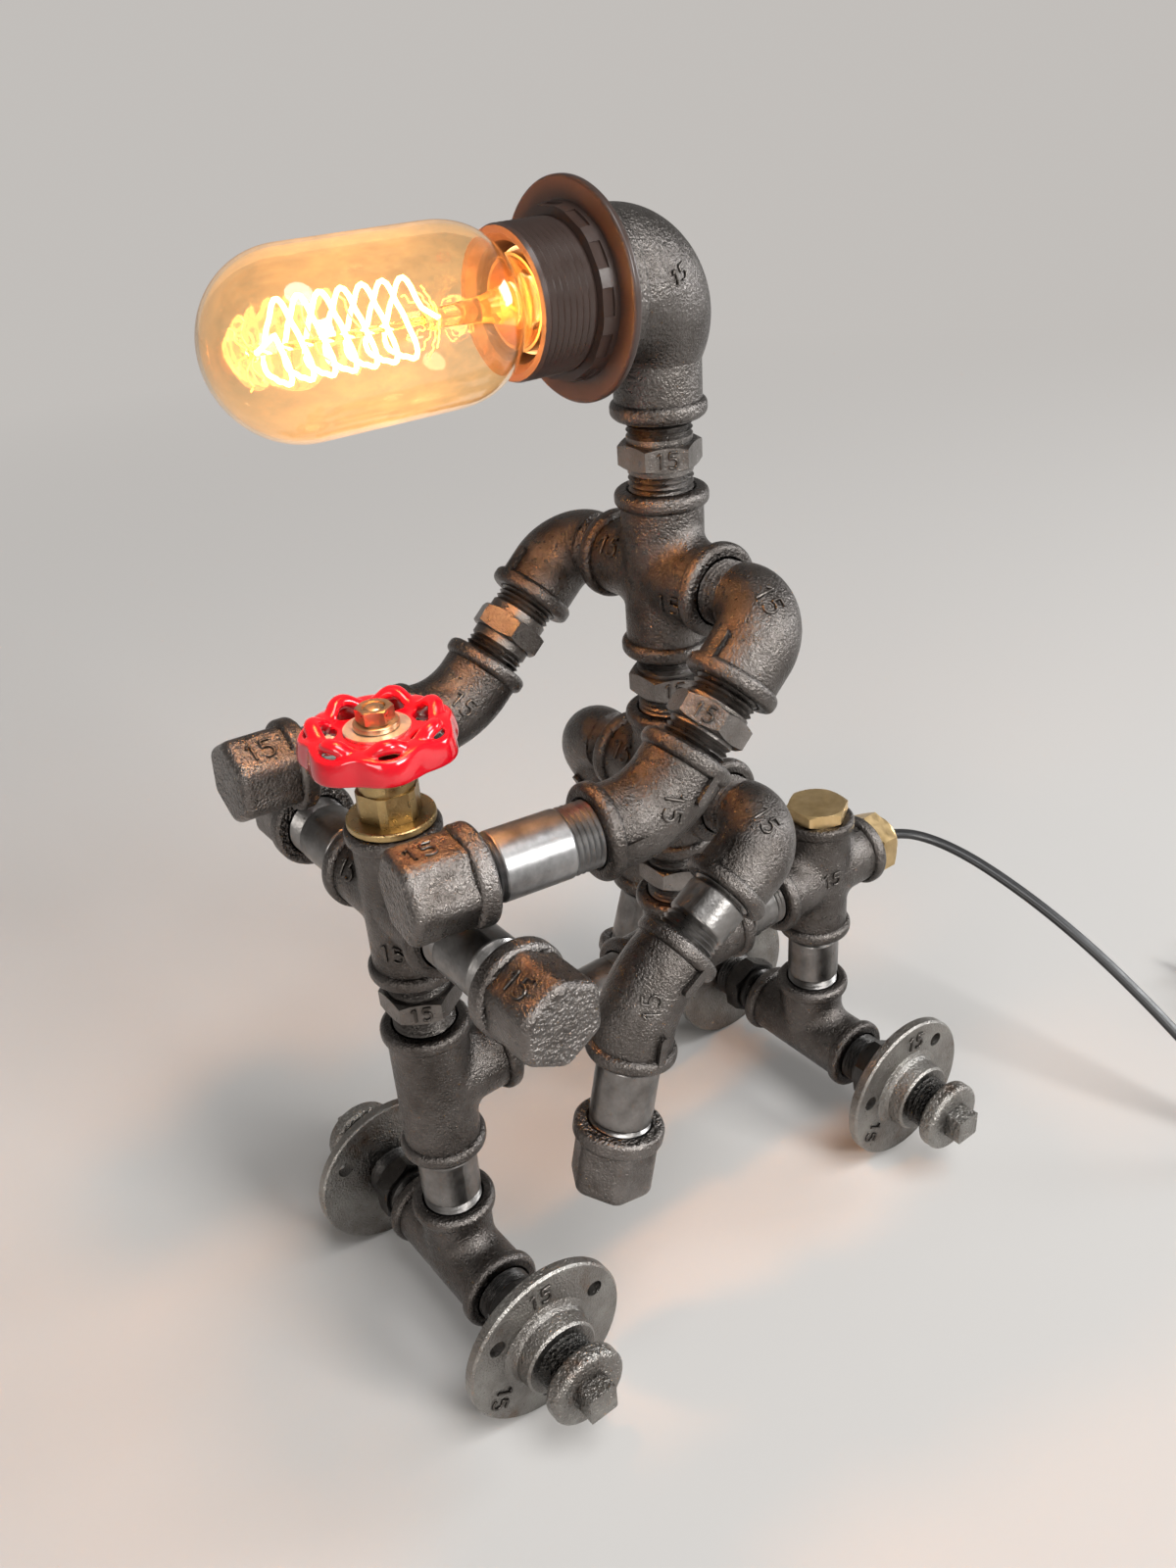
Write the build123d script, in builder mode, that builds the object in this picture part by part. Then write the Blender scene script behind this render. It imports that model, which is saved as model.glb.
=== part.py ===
"""Table lamp built from half-inch malleable pipe fittings: a seated figure that rides a small cart.

Millimetres, +Z up, -Y is forward, +X is the figure's left. The origin is on the floor, below the
middle of the lamp's own box, without the cord.
"""

from build123d import *
from math import cos, pi, radians, sin, sqrt, tan
import os

os.makedirs("parts", exist_ok=True)

# Half-inch malleable fittings
centre_to_face = 28.0  # tees, crosses and square elbows
knee_to_face = 22.0  # 45 degree elbows
barrel_radius = 13.4
branch_radius = 13.0
saddle_radius = 6.5
bead_radius = 15.15
bead_width = 5.5
street_bend = 15.0
street_end_radius = 11.3
knee_bend = 30.0
rib_width = 3.0
rib_height = 1.6
rib_length = 8.5
socket_radius = 10.5
socket_depth = 15.0
bore_radius = 8.2

# Pipes, nipples and caps
pipe_radius = 10.65
thread_radius = 10.45
thread_depth = 1.0
thread_pitch = 1.814
thread_reach = 13.0
nipple_turns = 3
street_turns = 4
hex_flats = 23.4
hex_length = 7.6
cap_flats = 26.0
cap_corner = 5.0
cap_edge = 3.0
cap_collar_radius = 15.4
cap_length = 25.8

# Gaps between the faces of neighbouring fittings
nipple_gap = 20.8
neck_gap = 22.3
post_gap = 26.0
front_pipe_gap = 55.0
rear_pipe_gap = 20.0
street_gap = 23.1
handlebar_gap = 30.5
axle_gap = 22.2

# Limbs: angles forward of straight down
left_arm_angle = 46.4
left_arm_turn = 11.0
left_arm_gap = 20.8
left_forearm_gap = 35.0
right_arm_angle = 48.0
right_arm_gap = 24.6
right_forearm_gap = 38.0
left_thigh_angle = 58.5
left_thigh_gap = 20.3
right_thigh_angle = -27.0
right_thigh_gap = 24.0
shin_gap = 25.6
knee_angle = 45.0

# Wheels: round pipe flanges
wheel_radius = 31.25
wheel_thickness = 4.5
hub_length = 13.2
bolt_circle = 47.0
bolt_hole_radius = 3.1
bolt_holes = 3
plug_stem = 8.6
plug_head_radius = 14.5
plug_head_length = 6.9
plug_square = 11.0
plug_square_length = 6.9

# Head, lamp holder and bulb: distances forward of the neck's axis
head_rise = 40.5
big_end_radius = 22.3
big_bore_radius = 17.5
holder_radius = 20.7
holder_front = 54.0
holder_thread_pitch = 2.1
ring_radius = 30.4
ring_thickness = 2.7
cap_radius = 13.0
glass_radius = 23.8
glass_wall = 0.9
neck_radius = 12.0
bulb_tip = 140.0
filament_radius = 11.0
filament_turns = 6

# Valve on the front column
bonnet_radius = 8.7
bonnet_flats = 18.0
bonnet_flats_height = 9.5
bonnet_flange_radius = 13.8
bonnet_height = 23.5
spindle_radius = 3.5
spindle_height = 38.85
running_clearance = 0.05
wheel_lobes = 7
first_lobe = -20.0
wheel_rim_height = 12.1
dish_depth = 5.0

# Cable gland and cord
gland_flats = 24.0
gland_length = 13.0
cord_radius = 2.75
coil_radius = 29.1
coil_width = 17.0
coil_height = 15.0

# Levels and places that follow from the sizes above
axle_height = wheel_radius
frame_height = axle_height + 2 * centre_to_face + post_gap
hip_height = frame_height + 2 * centre_to_face + nipple_gap
chest_height = hip_height + 2 * centre_to_face + nipple_gap
neck_height = chest_height + centre_to_face
head_height = neck_height + neck_gap + head_rise
front_to_body = 2 * centre_to_face + front_pipe_gap
body_to_rear = 2 * centre_to_face + rear_pipe_gap
gland_reach = centre_to_face + gland_length
body_y = (front_to_body + wheel_radius - body_to_rear - gland_reach) / 2
front_y = body_y - front_to_body
rear_y = body_y + body_to_rear
limb_x = centre_to_face + street_gap

forward, rearward = Vector(0, -1, 0), Vector(0, 1, 0)
leftward, rightward = Vector(1, 0, 0), Vector(-1, 0, 0)
upward, downward = Vector(0, 0, 1), Vector(0, 0, -1)

axle_centres = {"front": Vector(0, front_y, axle_height), "rear": Vector(0, rear_y, axle_height)}
front_centre = Vector(0, front_y, frame_height)
handlebar_centre = Vector(0, front_y, hip_height)
frame_centre = Vector(0, body_y, frame_height)
hip_centre = Vector(0, body_y, hip_height)
chest_centre = Vector(0, body_y, chest_height)
head_centre = Vector(0, body_y, head_height)
rear_centre = Vector(0, rear_y, frame_height)


def port(centre, towards, distance=0.0):
    """Plane at a distance from a centre, facing along a direction."""
    facing = Vector(towards).normalized()
    return Plane(origin=Vector(centre) + facing * distance, z_dir=facing)


def limb(angle):
    """Direction in the figure's side view, at an angle forward of straight down."""
    return Vector(0, -sin(radians(angle)), -cos(radians(angle)))


def save(piece, name):
    piece.part.label = name
    export_step(piece.part, f"parts/{name}.step")


# Shapes added to the part in hand


def bar(plane, radius, length, mode=Mode.ADD):
    with BuildSketch(plane) as disc:
        Circle(radius)
    extrude(disc.sketch, amount=length, mode=mode)


def turned(plane, outline, mode=Mode.ADD):
    """Solid of revolution about the plane's normal, from (radius, height) points."""
    half_plane = Plane(origin=plane.origin, x_dir=plane.x_dir, z_dir=-plane.y_dir)
    with BuildSketch(half_plane) as half:
        with BuildLine():
            Polyline(*outline, close=True)
        make_face()
    revolve(half.sketch, axis=Axis(plane.origin, plane.z_dir), mode=mode)


def rounded_ring(plane, inner, outer, low, high, rounding):
    """Ring about the plane's normal with its two outer edges rounded."""
    half_plane = Plane(origin=plane.origin, x_dir=plane.x_dir, z_dir=-plane.y_dir)
    with BuildSketch(half_plane) as half:
        with BuildLine():
            Polyline((inner, low), (outer, low), (outer, high), (inner, high), close=True)
        make_face()
        fillet(half.vertices().sort_by(Axis.X)[-2:], rounding)
    revolve(half.sketch, axis=Axis(plane.origin, plane.z_dir))


def tube(centre, ways, reach, bend, radius, mode=Mode.ADD):
    """Round bar along two straight arms that meet at a centre in an arc."""
    first, second = ways
    with BuildLine() as route:
        FilletPolyline(centre + first * reach, centre, centre + second * reach, radius=bend)
    with BuildSketch(port(centre, first, reach)) as disc:
        Circle(radius)
    sweep(disc.sketch, path=route.wire(), mode=mode)


def bead(face):
    rounded_ring(face, barrel_radius - 1, bead_radius, -bead_width, 0, 2.2)


def socket(face, reach=0.0):
    """Threaded hole with a chamfered mouth, and the waterway behind it as far as the reach."""
    shoulder = socket_depth + socket_radius - bore_radius
    mouth = [(0, 0), (socket_radius + 0.8, 0), (socket_radius, -0.8), (socket_radius, -socket_depth)]
    turned(face, mouth + [(bore_radius, -shoulder), (0, -shoulder)], Mode.SUBTRACT)
    if reach > shoulder:
        bar(face, bore_radius, -reach, Mode.SUBTRACT)


def rib(face, outward):
    """Raised casting rib with a round end along the barrel, from inside the bead."""
    root, start = bore_radius + 1.0, 1.6
    with BuildSketch(Plane(origin=face.origin + outward * root, x_dir=-face.z_dir, z_dir=outward)) as plan:
        with Locations(((start + bead_width + rib_length) / 2, 0)):
            SlotOverall(bead_width + rib_length - start, rib_width)
    extrude(plan.sketch, amount=barrel_radius + rib_height - root)


def thread(start, turns):
    """Outline points of a visible thread, from a height upwards."""
    points = []
    for turn in range(turns):
        crest = start + turn * thread_pitch
        points += [(thread_radius, crest), (thread_radius - thread_depth, crest + thread_pitch / 2)]
    return points + [(thread_radius, start + turns * thread_pitch)]


def pipe(face, gap, turns, reach=(thread_reach, thread_reach)):
    """Threaded pipe between two sockets, from the first one's face; turns of thread show at each end."""
    low, high = turns[0] * thread_pitch, gap - turns[1] * thread_pitch
    outline = [(bore_radius, -reach[0]), (thread_radius, -reach[0])] + thread(0, turns[0])
    outline += [(pipe_radius, low + 0.5), (pipe_radius, high - 0.5)] + thread(high, turns[1])
    turned(face, outline + [(thread_radius, gap + reach[1]), (bore_radius, gap + reach[1])])


def hex_collar(face, flats, length):
    """Hexagon with both ends chamfered to its flats."""
    corner = flats / sqrt(3) + 0.5
    slope = (corner - flats / 2) / 2
    with BuildSketch(face) as hexagon:
        RegularPolygon(flats / 2, 6, major_radius=False)
    extrude(hexagon.sketch, amount=length)
    turned(face, [(flats / 2, 0), (corner, 0), (corner, slope)], Mode.SUBTRACT)
    top = [(flats / 2, length), (corner, length), (corner, length - slope)]
    turned(face, top, Mode.SUBTRACT)


def hex_nipple(face, gap, reach=(thread_reach, thread_reach)):
    """Nipple with a hexagon in the middle, from the first socket's face."""
    low, high = (gap - hex_length) / 2, (gap + hex_length) / 2
    outline = [(bore_radius, -reach[0]), (thread_radius, -reach[0])] + thread(0, nipple_turns)
    outline += [(thread_radius, low), (thread_radius, high)]
    outline += thread(gap - nipple_turns * thread_pitch, nipple_turns)
    outline += [(thread_radius, gap + reach[1]), (bore_radius, gap + reach[1])]
    hexagon_foot = Plane(origin=face.origin + face.z_dir * low, x_dir=face.x_dir, z_dir=face.z_dir)
    hex_collar(hexagon_foot, hex_flats, hex_length)
    turned(face, outline)
    bar(hexagon_foot, bore_radius, hex_length, Mode.SUBTRACT)


def branched_fitting(centre, run, branches):
    """Tee or cross: a straight run and one or two branches, with saddles, beads and sockets."""
    bar(port(centre, run, centre_to_face), barrel_radius, -2 * centre_to_face)
    for side in branches:
        bar(port(centre, side, centre_to_face), branch_radius, -centre_to_face)
    saddles = [edge for edge in edges() if edge.geom_type not in (GeomType.CIRCLE, GeomType.LINE)]
    fillet(saddles, saddle_radius)
    ports = [port(centre, side, centre_to_face) for side in [run, -run] + branches]
    for face in ports:
        bead(face)
    for face in ports:
        socket(face, centre_to_face)


def elbow(centre, ways, reach, bend, outward):
    """Elbow with two sockets; a rib stands on each arm."""
    tube(centre, ways, reach, bend, barrel_radius)
    faces = [port(centre, way, reach) for way in ways]
    for face in faces:
        bead(face)
        rib(face, outward)
    tube(centre, ways, reach, bend, bore_radius, Mode.SUBTRACT)
    for face in faces:
        socket(face)


def street_elbow(centre, inward, way):
    """Square elbow with a socket along one way and a tapered end whose thread screws into a cross."""
    face = port(centre, way, centre_to_face)
    bend_centre = centre + (inward + way) * street_bend
    sections = []
    for angle in (0, 30, 60, 90):
        outwards = way * cos(radians(angle)) + inward * sin(radians(angle))
        travel = way * sin(radians(angle)) - inward * cos(radians(angle))
        growth = sin(radians(angle))
        with BuildSketch(Plane(origin=bend_centre - outwards * street_bend, z_dir=travel)) as section:
            Circle(street_end_radius + (barrel_radius - street_end_radius) * growth)
        sections.append(section.sketch)
    loft(sections)
    bar(port(centre, way, street_bend), barrel_radius, centre_to_face - street_bend)
    bead(face)
    ridge_way = way.cross(inward)
    for outward in (ridge_way, -ridge_way):
        rib(face, outward)
    first_crest = street_gap - street_turns * thread_pitch
    end = street_gap + thread_reach
    stem = [(0, street_bend - 1), (thread_radius, street_bend - 1), (thread_radius, street_bend)]
    stem += [(street_end_radius, street_bend), (street_end_radius, first_crest - 0.4)]
    turned(port(centre, inward), stem + thread(first_crest, street_turns) + [(thread_radius, end), (0, end)])
    with BuildSketch(face) as hole:
        Circle(bore_radius)
    with BuildLine() as waterway:
        ends = (centre + inward * end, centre, centre + way * centre_to_face)
        FilletPolyline(*ends, radius=street_bend)
    sweep(hole.sketch, path=waterway.wire(), mode=Mode.SUBTRACT)
    socket(face)


def pipe_cap(face):
    """Hexagonal cap; the plane is its open face and looks towards the closed end."""
    with BuildSketch(face) as hexagon:
        RegularPolygon(cap_flats / 2, 6, major_radius=False)
        fillet(hexagon.vertices(), cap_corner)
    extrude(hexagon.sketch, amount=cap_length)
    end_edges = edges().filter_by_position(Axis(face.origin, face.z_dir), cap_length - 0.01, cap_length + 0.01)
    fillet(end_edges, cap_edge)
    rounded_ring(face, socket_radius, cap_collar_radius, 0, 6.5, 2.0)
    turned(face, [(0, 0), (socket_radius + 0.8, 0), (socket_radius, 0.8), (socket_radius, 16), (0, 19)],
           Mode.SUBTRACT)


# Column fittings

with BuildPart() as frame_tee:
    branched_fitting(frame_centre, rearward, [upward])
save(frame_tee, "frame_tee")

with BuildPart() as hip_cross:
    branched_fitting(hip_centre, upward, [leftward, rightward])
save(hip_cross, "hip_cross")

with BuildPart() as chest_cross:
    branched_fitting(chest_centre, upward, [leftward, rightward])
save(chest_cross, "chest_cross")

with BuildPart() as front_tee:
    branched_fitting(front_centre, upward, [rearward])
save(front_tee, "front_tee")

with BuildPart() as handlebar_cross:
    branched_fitting(handlebar_centre, upward, [leftward, rightward])
save(handlebar_cross, "handlebar_cross")

with BuildPart() as rear_cross:
    branched_fitting(rear_centre, upward, [forward, rearward])
save(rear_cross, "rear_cross")

for end, axle_centre in axle_centres.items():
    with BuildPart() as axle_tee:
        branched_fitting(axle_centre, leftward, [upward])
    save(axle_tee, f"{end}_axle_tee")

# Straight nipples and pipes of the frame

with BuildPart() as column_nipples:
    for centre in (front_centre, frame_centre, hip_centre):
        hex_nipple(port(centre, upward, centre_to_face), nipple_gap)
    hex_nipple(port(chest_centre, upward, centre_to_face), neck_gap)
save(column_nipples, "column_nipples")

with BuildPart() as post_nipples:
    for centre in axle_centres.values():
        pipe(port(centre, upward, centre_to_face), post_gap, (2, 2))
save(post_nipples, "post_nipples")

with BuildPart() as front_frame_pipe:
    pipe(port(front_centre, rearward, centre_to_face), front_pipe_gap, (3, 3))
save(front_frame_pipe, "front_frame_pipe")

with BuildPart() as rear_frame_pipe:
    pipe(port(frame_centre, rearward, centre_to_face), rear_pipe_gap, (2, 2))
save(rear_frame_pipe, "rear_frame_pipe")

# Handlebar

with BuildPart() as handlebar_pipes:
    for side in (leftward, rightward):
        pipe(port(handlebar_centre, side, centre_to_face), handlebar_gap, (3, 4))
save(handlebar_pipes, "handlebar_pipes")

with BuildPart() as handlebar_caps:
    for side in (leftward, rightward):
        pipe_cap(port(handlebar_centre, side, centre_to_face + handlebar_gap))
save(handlebar_caps, "handlebar_caps")

# Axles and wheels

hub_grip = hub_length / 2 - 0.4
wheel_face = centre_to_face + axle_gap

with BuildPart() as axle_nipples:
    for centre in axle_centres.values():
        for side in (leftward, rightward):
            hex_nipple(port(centre, side, centre_to_face), axle_gap, (thread_reach, hub_grip))
save(axle_nipples, "axle_nipples")

# Angle of the first bolt hole above the rearward direction, for both wheels of an axle
hole_angles = {"front": 26.0, "rear": 46.0}

with BuildPart() as wheel_flanges:
    for end, side in (("front", 1), ("front", -1), ("rear", 1), ("rear", -1)):
        inner_face = Plane(
            origin=axle_centres[end] + leftward * side * wheel_face, x_dir=rearward, z_dir=leftward * side
        )
        rim = wheel_thickness
        outline = [(socket_radius, 0), (wheel_radius - 0.6, 0), (wheel_radius, 0.6), (wheel_radius, rim - 0.8)]
        outline += [(wheel_radius - 0.8, rim), (18.0, rim), (15.8, rim + 0.9), (14.9, rim + 2.6)]
        outline += [(14.3, hub_length - 0.8), (13.5, hub_length), (socket_radius, hub_length)]
        turned(inner_face, outline)
        with BuildSketch(inner_face) as holes:
            with PolarLocations(bolt_circle / 2, bolt_holes, start_angle=side * hole_angles[end]):
                Circle(bolt_hole_radius)
        extrude(holes.sketch, amount=rim, mode=Mode.SUBTRACT)
save(wheel_flanges, "wheel_flanges")

with BuildPart() as axle_plugs:
    for centre in axle_centres.values():
        for side in (leftward, rightward):
            hub_face = port(centre, side, wheel_face + hub_length)
            head = plug_stem + plug_head_length
            turned(hub_face, [(0, -hub_grip), (thread_radius, -hub_grip)] + thread(0, 4)
                   + [(thread_radius, plug_stem + 0.5), (0, plug_stem + 0.5)])
            rounded_ring(hub_face, 0, plug_head_radius, plug_stem, head, 2.0)
            with BuildSketch(port(centre, side, wheel_face + hub_length + head - 0.5)) as square:
                RectangleRounded(plug_square, plug_square, 1.0)
            extrude(square.sketch, amount=plug_square_length + 0.5)
save(axle_plugs, "axle_plugs")

# Rear plug and cable gland, brass

with BuildPart() as rear_plug:
    top_face = port(rear_centre, upward, centre_to_face)
    bar(top_face, thread_radius, -11.0)
    hex_collar(top_face, 22.4, 5.5)
    chamfer(edges().group_by(Axis.Z)[0], 0.6)
save(rear_plug, "rear_plug")

with BuildPart() as cable_gland:
    back_face = port(rear_centre, rearward, centre_to_face)
    bar(back_face, thread_radius, -11.0)
    hex_collar(back_face, gland_flats, gland_length - 4.0)
    rounded_ring(back_face, 0, 9.6, 1.0, gland_length, 1.2)
    bar(port(rear_centre, rearward, gland_reach), cord_radius, -gland_length - 11.0, Mode.SUBTRACT)
save(cable_gland, "cable_gland")

# Arms and legs

forearms = {
    "left": (leftward, left_arm_angle, left_arm_turn, left_arm_gap, left_forearm_gap),
    "right": (rightward, right_arm_angle, 0.0, right_arm_gap, right_forearm_gap),
}
for name, (side, angle, turn, arm_gap, gap) in forearms.items():
    shoulder_centre = chest_centre + side * limb_x
    upper_way = limb(angle)
    fore_way = limb(angle + knee_angle).rotate(Axis((0, 0, 0), upper_way), turn)
    elbow_centre = shoulder_centre + upper_way * (centre_to_face + arm_gap + knee_to_face)

    with BuildPart() as shoulder_elbow:
        street_elbow(shoulder_centre, -side, upper_way)
    save(shoulder_elbow, f"{name}_shoulder_elbow")

    with BuildPart() as arm_nipple:
        hex_nipple(port(shoulder_centre, upper_way, centre_to_face), arm_gap)
    save(arm_nipple, f"{name}_arm_nipple")

    with BuildPart() as forearm_elbow:
        elbow(elbow_centre, [-upper_way, fore_way], knee_to_face, knee_bend, side)
    save(forearm_elbow, f"{name}_forearm_elbow")

    with BuildPart() as forearm_pipe:
        pipe(port(elbow_centre, fore_way, knee_to_face), gap, (5, 2))
    save(forearm_pipe, f"{name}_forearm_pipe")

    with BuildPart() as hand_cap:
        pipe_cap(port(elbow_centre, fore_way, knee_to_face + gap))
    save(hand_cap, f"{name}_hand_cap")

legs = {
    "left": (leftward, left_thigh_angle, left_thigh_angle - knee_angle, left_thigh_gap),
    "right": (rightward, right_thigh_angle, right_thigh_angle + knee_angle, right_thigh_gap),
}
for name, (side, thigh_angle, shin_angle, gap) in legs.items():
    thigh_centre = hip_centre + side * limb_x
    thigh_way, shin_way = limb(thigh_angle), limb(shin_angle)
    knee_centre = thigh_centre + thigh_way * (centre_to_face + gap + knee_to_face)

    with BuildPart() as hip_elbow:
        street_elbow(thigh_centre, -side, thigh_way)
    save(hip_elbow, f"{name}_hip_elbow")

    with BuildPart() as thigh_pipe:
        pipe(port(thigh_centre, thigh_way, centre_to_face), gap, (1, 4))
    save(thigh_pipe, f"{name}_thigh_pipe")

    with BuildPart() as knee_elbow:
        elbow(knee_centre, [-thigh_way, shin_way], knee_to_face, knee_bend, side)
    save(knee_elbow, f"{name}_knee_elbow")

    with BuildPart() as shin_pipe:
        pipe(port(knee_centre, shin_way, knee_to_face), shin_gap, (1, 1))
    save(shin_pipe, f"{name}_shin_pipe")

    with BuildPart() as foot_cap:
        pipe_cap(port(knee_centre, shin_way, knee_to_face + shin_gap))
    save(foot_cap, f"{name}_foot_cap")

# Head: reducing elbow, lofted through discs that fan about a point in front of the neck

fan_y = 18.0  # forward of the neck's axis
fan_drop = 23.6  # below the lamp's axis
big_barrel_radius = big_end_radius - 0.6


def fan_disc(angle):
    """Plane and radius of the head's section at an angle about the fan's point."""
    across = Vector(0, cos(radians(angle)), sin(radians(angle)))
    growth = sin(radians(angle))
    radius = barrel_radius + 0.3 + (big_barrel_radius - barrel_radius - 0.3) * growth
    inner_gap = (fan_y - barrel_radius - 0.3) * (1 - growth) + (fan_drop - big_barrel_radius) * growth
    middle = head_centre + forward * fan_y + downward * fan_drop + across * (inner_gap + radius)
    return Plane(origin=middle, x_dir=leftward, z_dir=leftward.cross(across)), radius


with BuildPart() as head_elbow:
    sections = []
    for fan_angle in (0, 30, 60, 90):
        section_plane, section_radius = fan_disc(fan_angle)
        with BuildSketch(section_plane) as section:
            Circle(section_radius)
        sections.append(section.sketch)
    loft(sections)
    neck_face = port(head_centre, downward, head_rise)
    bar(neck_face, barrel_radius + 0.3, -(head_rise - fan_drop))
    bead(neck_face)
    big_face = port(head_centre, forward, centre_to_face)
    bar(big_face, big_barrel_radius, -(centre_to_face - fan_y))
    rounded_ring(big_face, big_bore_radius, big_end_radius, -8.5, 0, 1.4)
    with BuildSketch(Plane.YZ.offset(-15.6)) as lozenge:
        with Locations((body_y - 3.5, head_height - 6.0)):
            SlotOverall(11.0, 5.0, rotation=20)
    extrude(lozenge.sketch, amount=31.2)
    socket(neck_face, head_rise)
    bar(big_face, big_bore_radius, -14.5, Mode.SUBTRACT)
    bar(big_face, bore_radius, -centre_to_face - 4.0, Mode.SUBTRACT)
save(head_elbow, "head_elbow")

# Lamp holder and shade ring

lamp_axis = port(head_centre, forward)
shoulder_at = centre_to_face + 0.1

with BuildPart() as holder_body:
    grooves_from = 38.0
    outline = [(3.2, 14.0), (big_bore_radius - 0.1, 14.0), (big_bore_radius - 0.1, shoulder_at)]
    outline += [(holder_radius, shoulder_at)]
    for turn in range(7):
        crest = grooves_from + turn * holder_thread_pitch
        outline += [(holder_radius, crest), (holder_radius - 0.7, crest + holder_thread_pitch / 2)]
    outline += [(holder_radius, grooves_from + 7 * holder_thread_pitch), (holder_radius - 0.5, holder_front)]
    outline += [(holder_radius - 2.4, holder_front), (16.2, holder_front - 2.5), (16.2, 17.0), (3.2, 17.0)]
    turned(lamp_axis, outline)
save(holder_body, "holder_body")

with BuildPart() as holder_insert:
    turned(lamp_axis, [(0, 17.1), (16.0, 17.1), (16.0, 22.0), (14.2, 22.0), (14.2, 46.0), (13.15, 46.0),
                       (13.15, 24.0), (3.2, 24.0), (2.6, 25.4), (0, 25.4)])
save(holder_insert, "holder_insert")

with BuildPart() as shade_ring:
    ring_back = 29.4
    ring_front = ring_back + ring_thickness
    rounded_ring(lamp_axis, holder_radius + 0.1, ring_radius, ring_back, ring_front, 1.0)
    turned(lamp_axis, [(holder_radius + 0.1, ring_front - 0.2), (24.0, ring_front - 0.2),
                       (23.4, ring_front + 5.0), (holder_radius + 0.1, ring_front + 5.0)])
    with BuildSketch(port(head_centre, forward, ring_front + 1.6)) as notches:
        with PolarLocations(24.2, 12):
            Rectangle(2.4, 7.4)
    extrude(notches.sketch, amount=4.0, mode=Mode.SUBTRACT)
save(shade_ring, "shade_ring")

# Bulb

with BuildPart() as bulb_cap:
    turned(lamp_axis, [(0, 25.5), (4.6, 25.5), (4.8, 26.4), (9.0, 28.4), (12.3, 30.5), (cap_radius, 32.0),
                       (cap_radius, 50.0), (neck_radius + 0.1, 50.0), (neck_radius + 0.1, 34.0), (0, 31.0)])
save(bulb_cap, "bulb_cap")


def glass_profile(inset):
    """Half outline of the bulb's glass, drawn this far inside its outer skin."""
    neck, belly = neck_radius - inset, glass_radius - inset
    shoulder_end, tip_start = 73.0, bulb_tip - glass_radius
    with BuildSketch(Plane(origin=lamp_axis.origin, x_dir=lamp_axis.x_dir, z_dir=-lamp_axis.y_dir)) as half:
        with BuildLine():
            Line((0, 36.0 + inset), (neck, 36.0 + inset))
            Line((neck, 36.0 + inset), (neck, 50.5))
            Spline((neck, 50.5), (belly, shoulder_end), tangents=[(0.25, 1), (0, 1)], tangent_scalars=[1.0, 1.0])
            Line((belly, shoulder_end), (belly, tip_start))
            ThreePointArc((belly, tip_start), (belly * sqrt(0.5), tip_start + belly * sqrt(0.5)),
                          (0, tip_start + belly))
            Line((0, tip_start + belly), (0, 36.0 + inset))
        make_face()
    return half.sketch


with BuildPart() as bulb_glass:
    revolve(glass_profile(0.0), axis=Axis(lamp_axis.origin, lamp_axis.z_dir))
    revolve(glass_profile(glass_wall), axis=Axis(lamp_axis.origin, lamp_axis.z_dir), mode=Mode.SUBTRACT)
save(bulb_glass, "bulb_glass")

with BuildPart() as bulb_stem:
    turned(lamp_axis, [(0, 37.0), (9.8, 37.0), (9.2, 42.0), (5.6, 52.0), (3.6, 60.0), (3.0, 68.0), (2.6, 74.0),
                       (3.4, 76.0), (2.6, 78.0), (1.0, 80.0), (1.0, 126.0), (2.2, 127.5), (1.0, 129.0), (0, 129.0)])
save(bulb_stem, "bulb_stem")

with BuildPart() as bulb_filament:
    coil_start, coil_end = 84.0, 122.0
    pitch = (coil_end - coil_start) / filament_turns
    filament_plane = port(head_centre, forward, coil_start)
    strand = Helix(pitch, coil_end - coil_start, filament_radius, center=filament_plane.origin,
                   direction=forward, mode=Mode.PRIVATE)
    with BuildSketch(Plane(origin=strand @ 0, z_dir=strand % 0)) as wire_section:
        Circle(0.45)
    sweep(wire_section.sketch, path=strand, is_frenet=True)
save(bulb_filament, "bulb_filament")

# Valve: bonnet, spindle and handwheel on the handlebar cross

valve_foot = port(handlebar_centre, upward, centre_to_face)
valve_height = hip_height + centre_to_face

with BuildPart() as valve_bonnet:
    bar(valve_foot, thread_radius, -11.0)
    rounded_ring(valve_foot, 0, bonnet_flange_radius, 0.1, 2.9, 0.8)
    bar(valve_foot, bonnet_radius, bonnet_height)
    with BuildSketch(Plane.XY.offset(valve_height)) as flats:
        with Locations((0, front_y)):
            RegularPolygon(bonnet_flats / 2, 6, major_radius=False, rotation=20)
            Circle(bonnet_flats / 2 + 0.7, mode=Mode.INTERSECT)
    extrude(flats.sketch, amount=2.9 + bonnet_flats_height)
    bar(port(handlebar_centre, upward, centre_to_face - 11.0), spindle_radius + running_clearance,
        11.0 + bonnet_height, Mode.SUBTRACT)
save(valve_bonnet, "valve_bonnet")

wheel_foot = valve_height + bonnet_height + 0.5
dish_floor = wheel_foot + wheel_rim_height - dish_depth
washer_radius, washer_thickness = 6.9, 2.0
nut_flats, nut_height = 10.0, 4.5

with BuildPart() as valve_spindle:
    turned(valve_foot, [(0, -15.0), (spindle_radius, -15.0), (spindle_radius, spindle_height - 1.25),
                        (2.4, spindle_height - 0.35), (0, spindle_height)])
save(valve_spindle, "valve_spindle")

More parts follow.
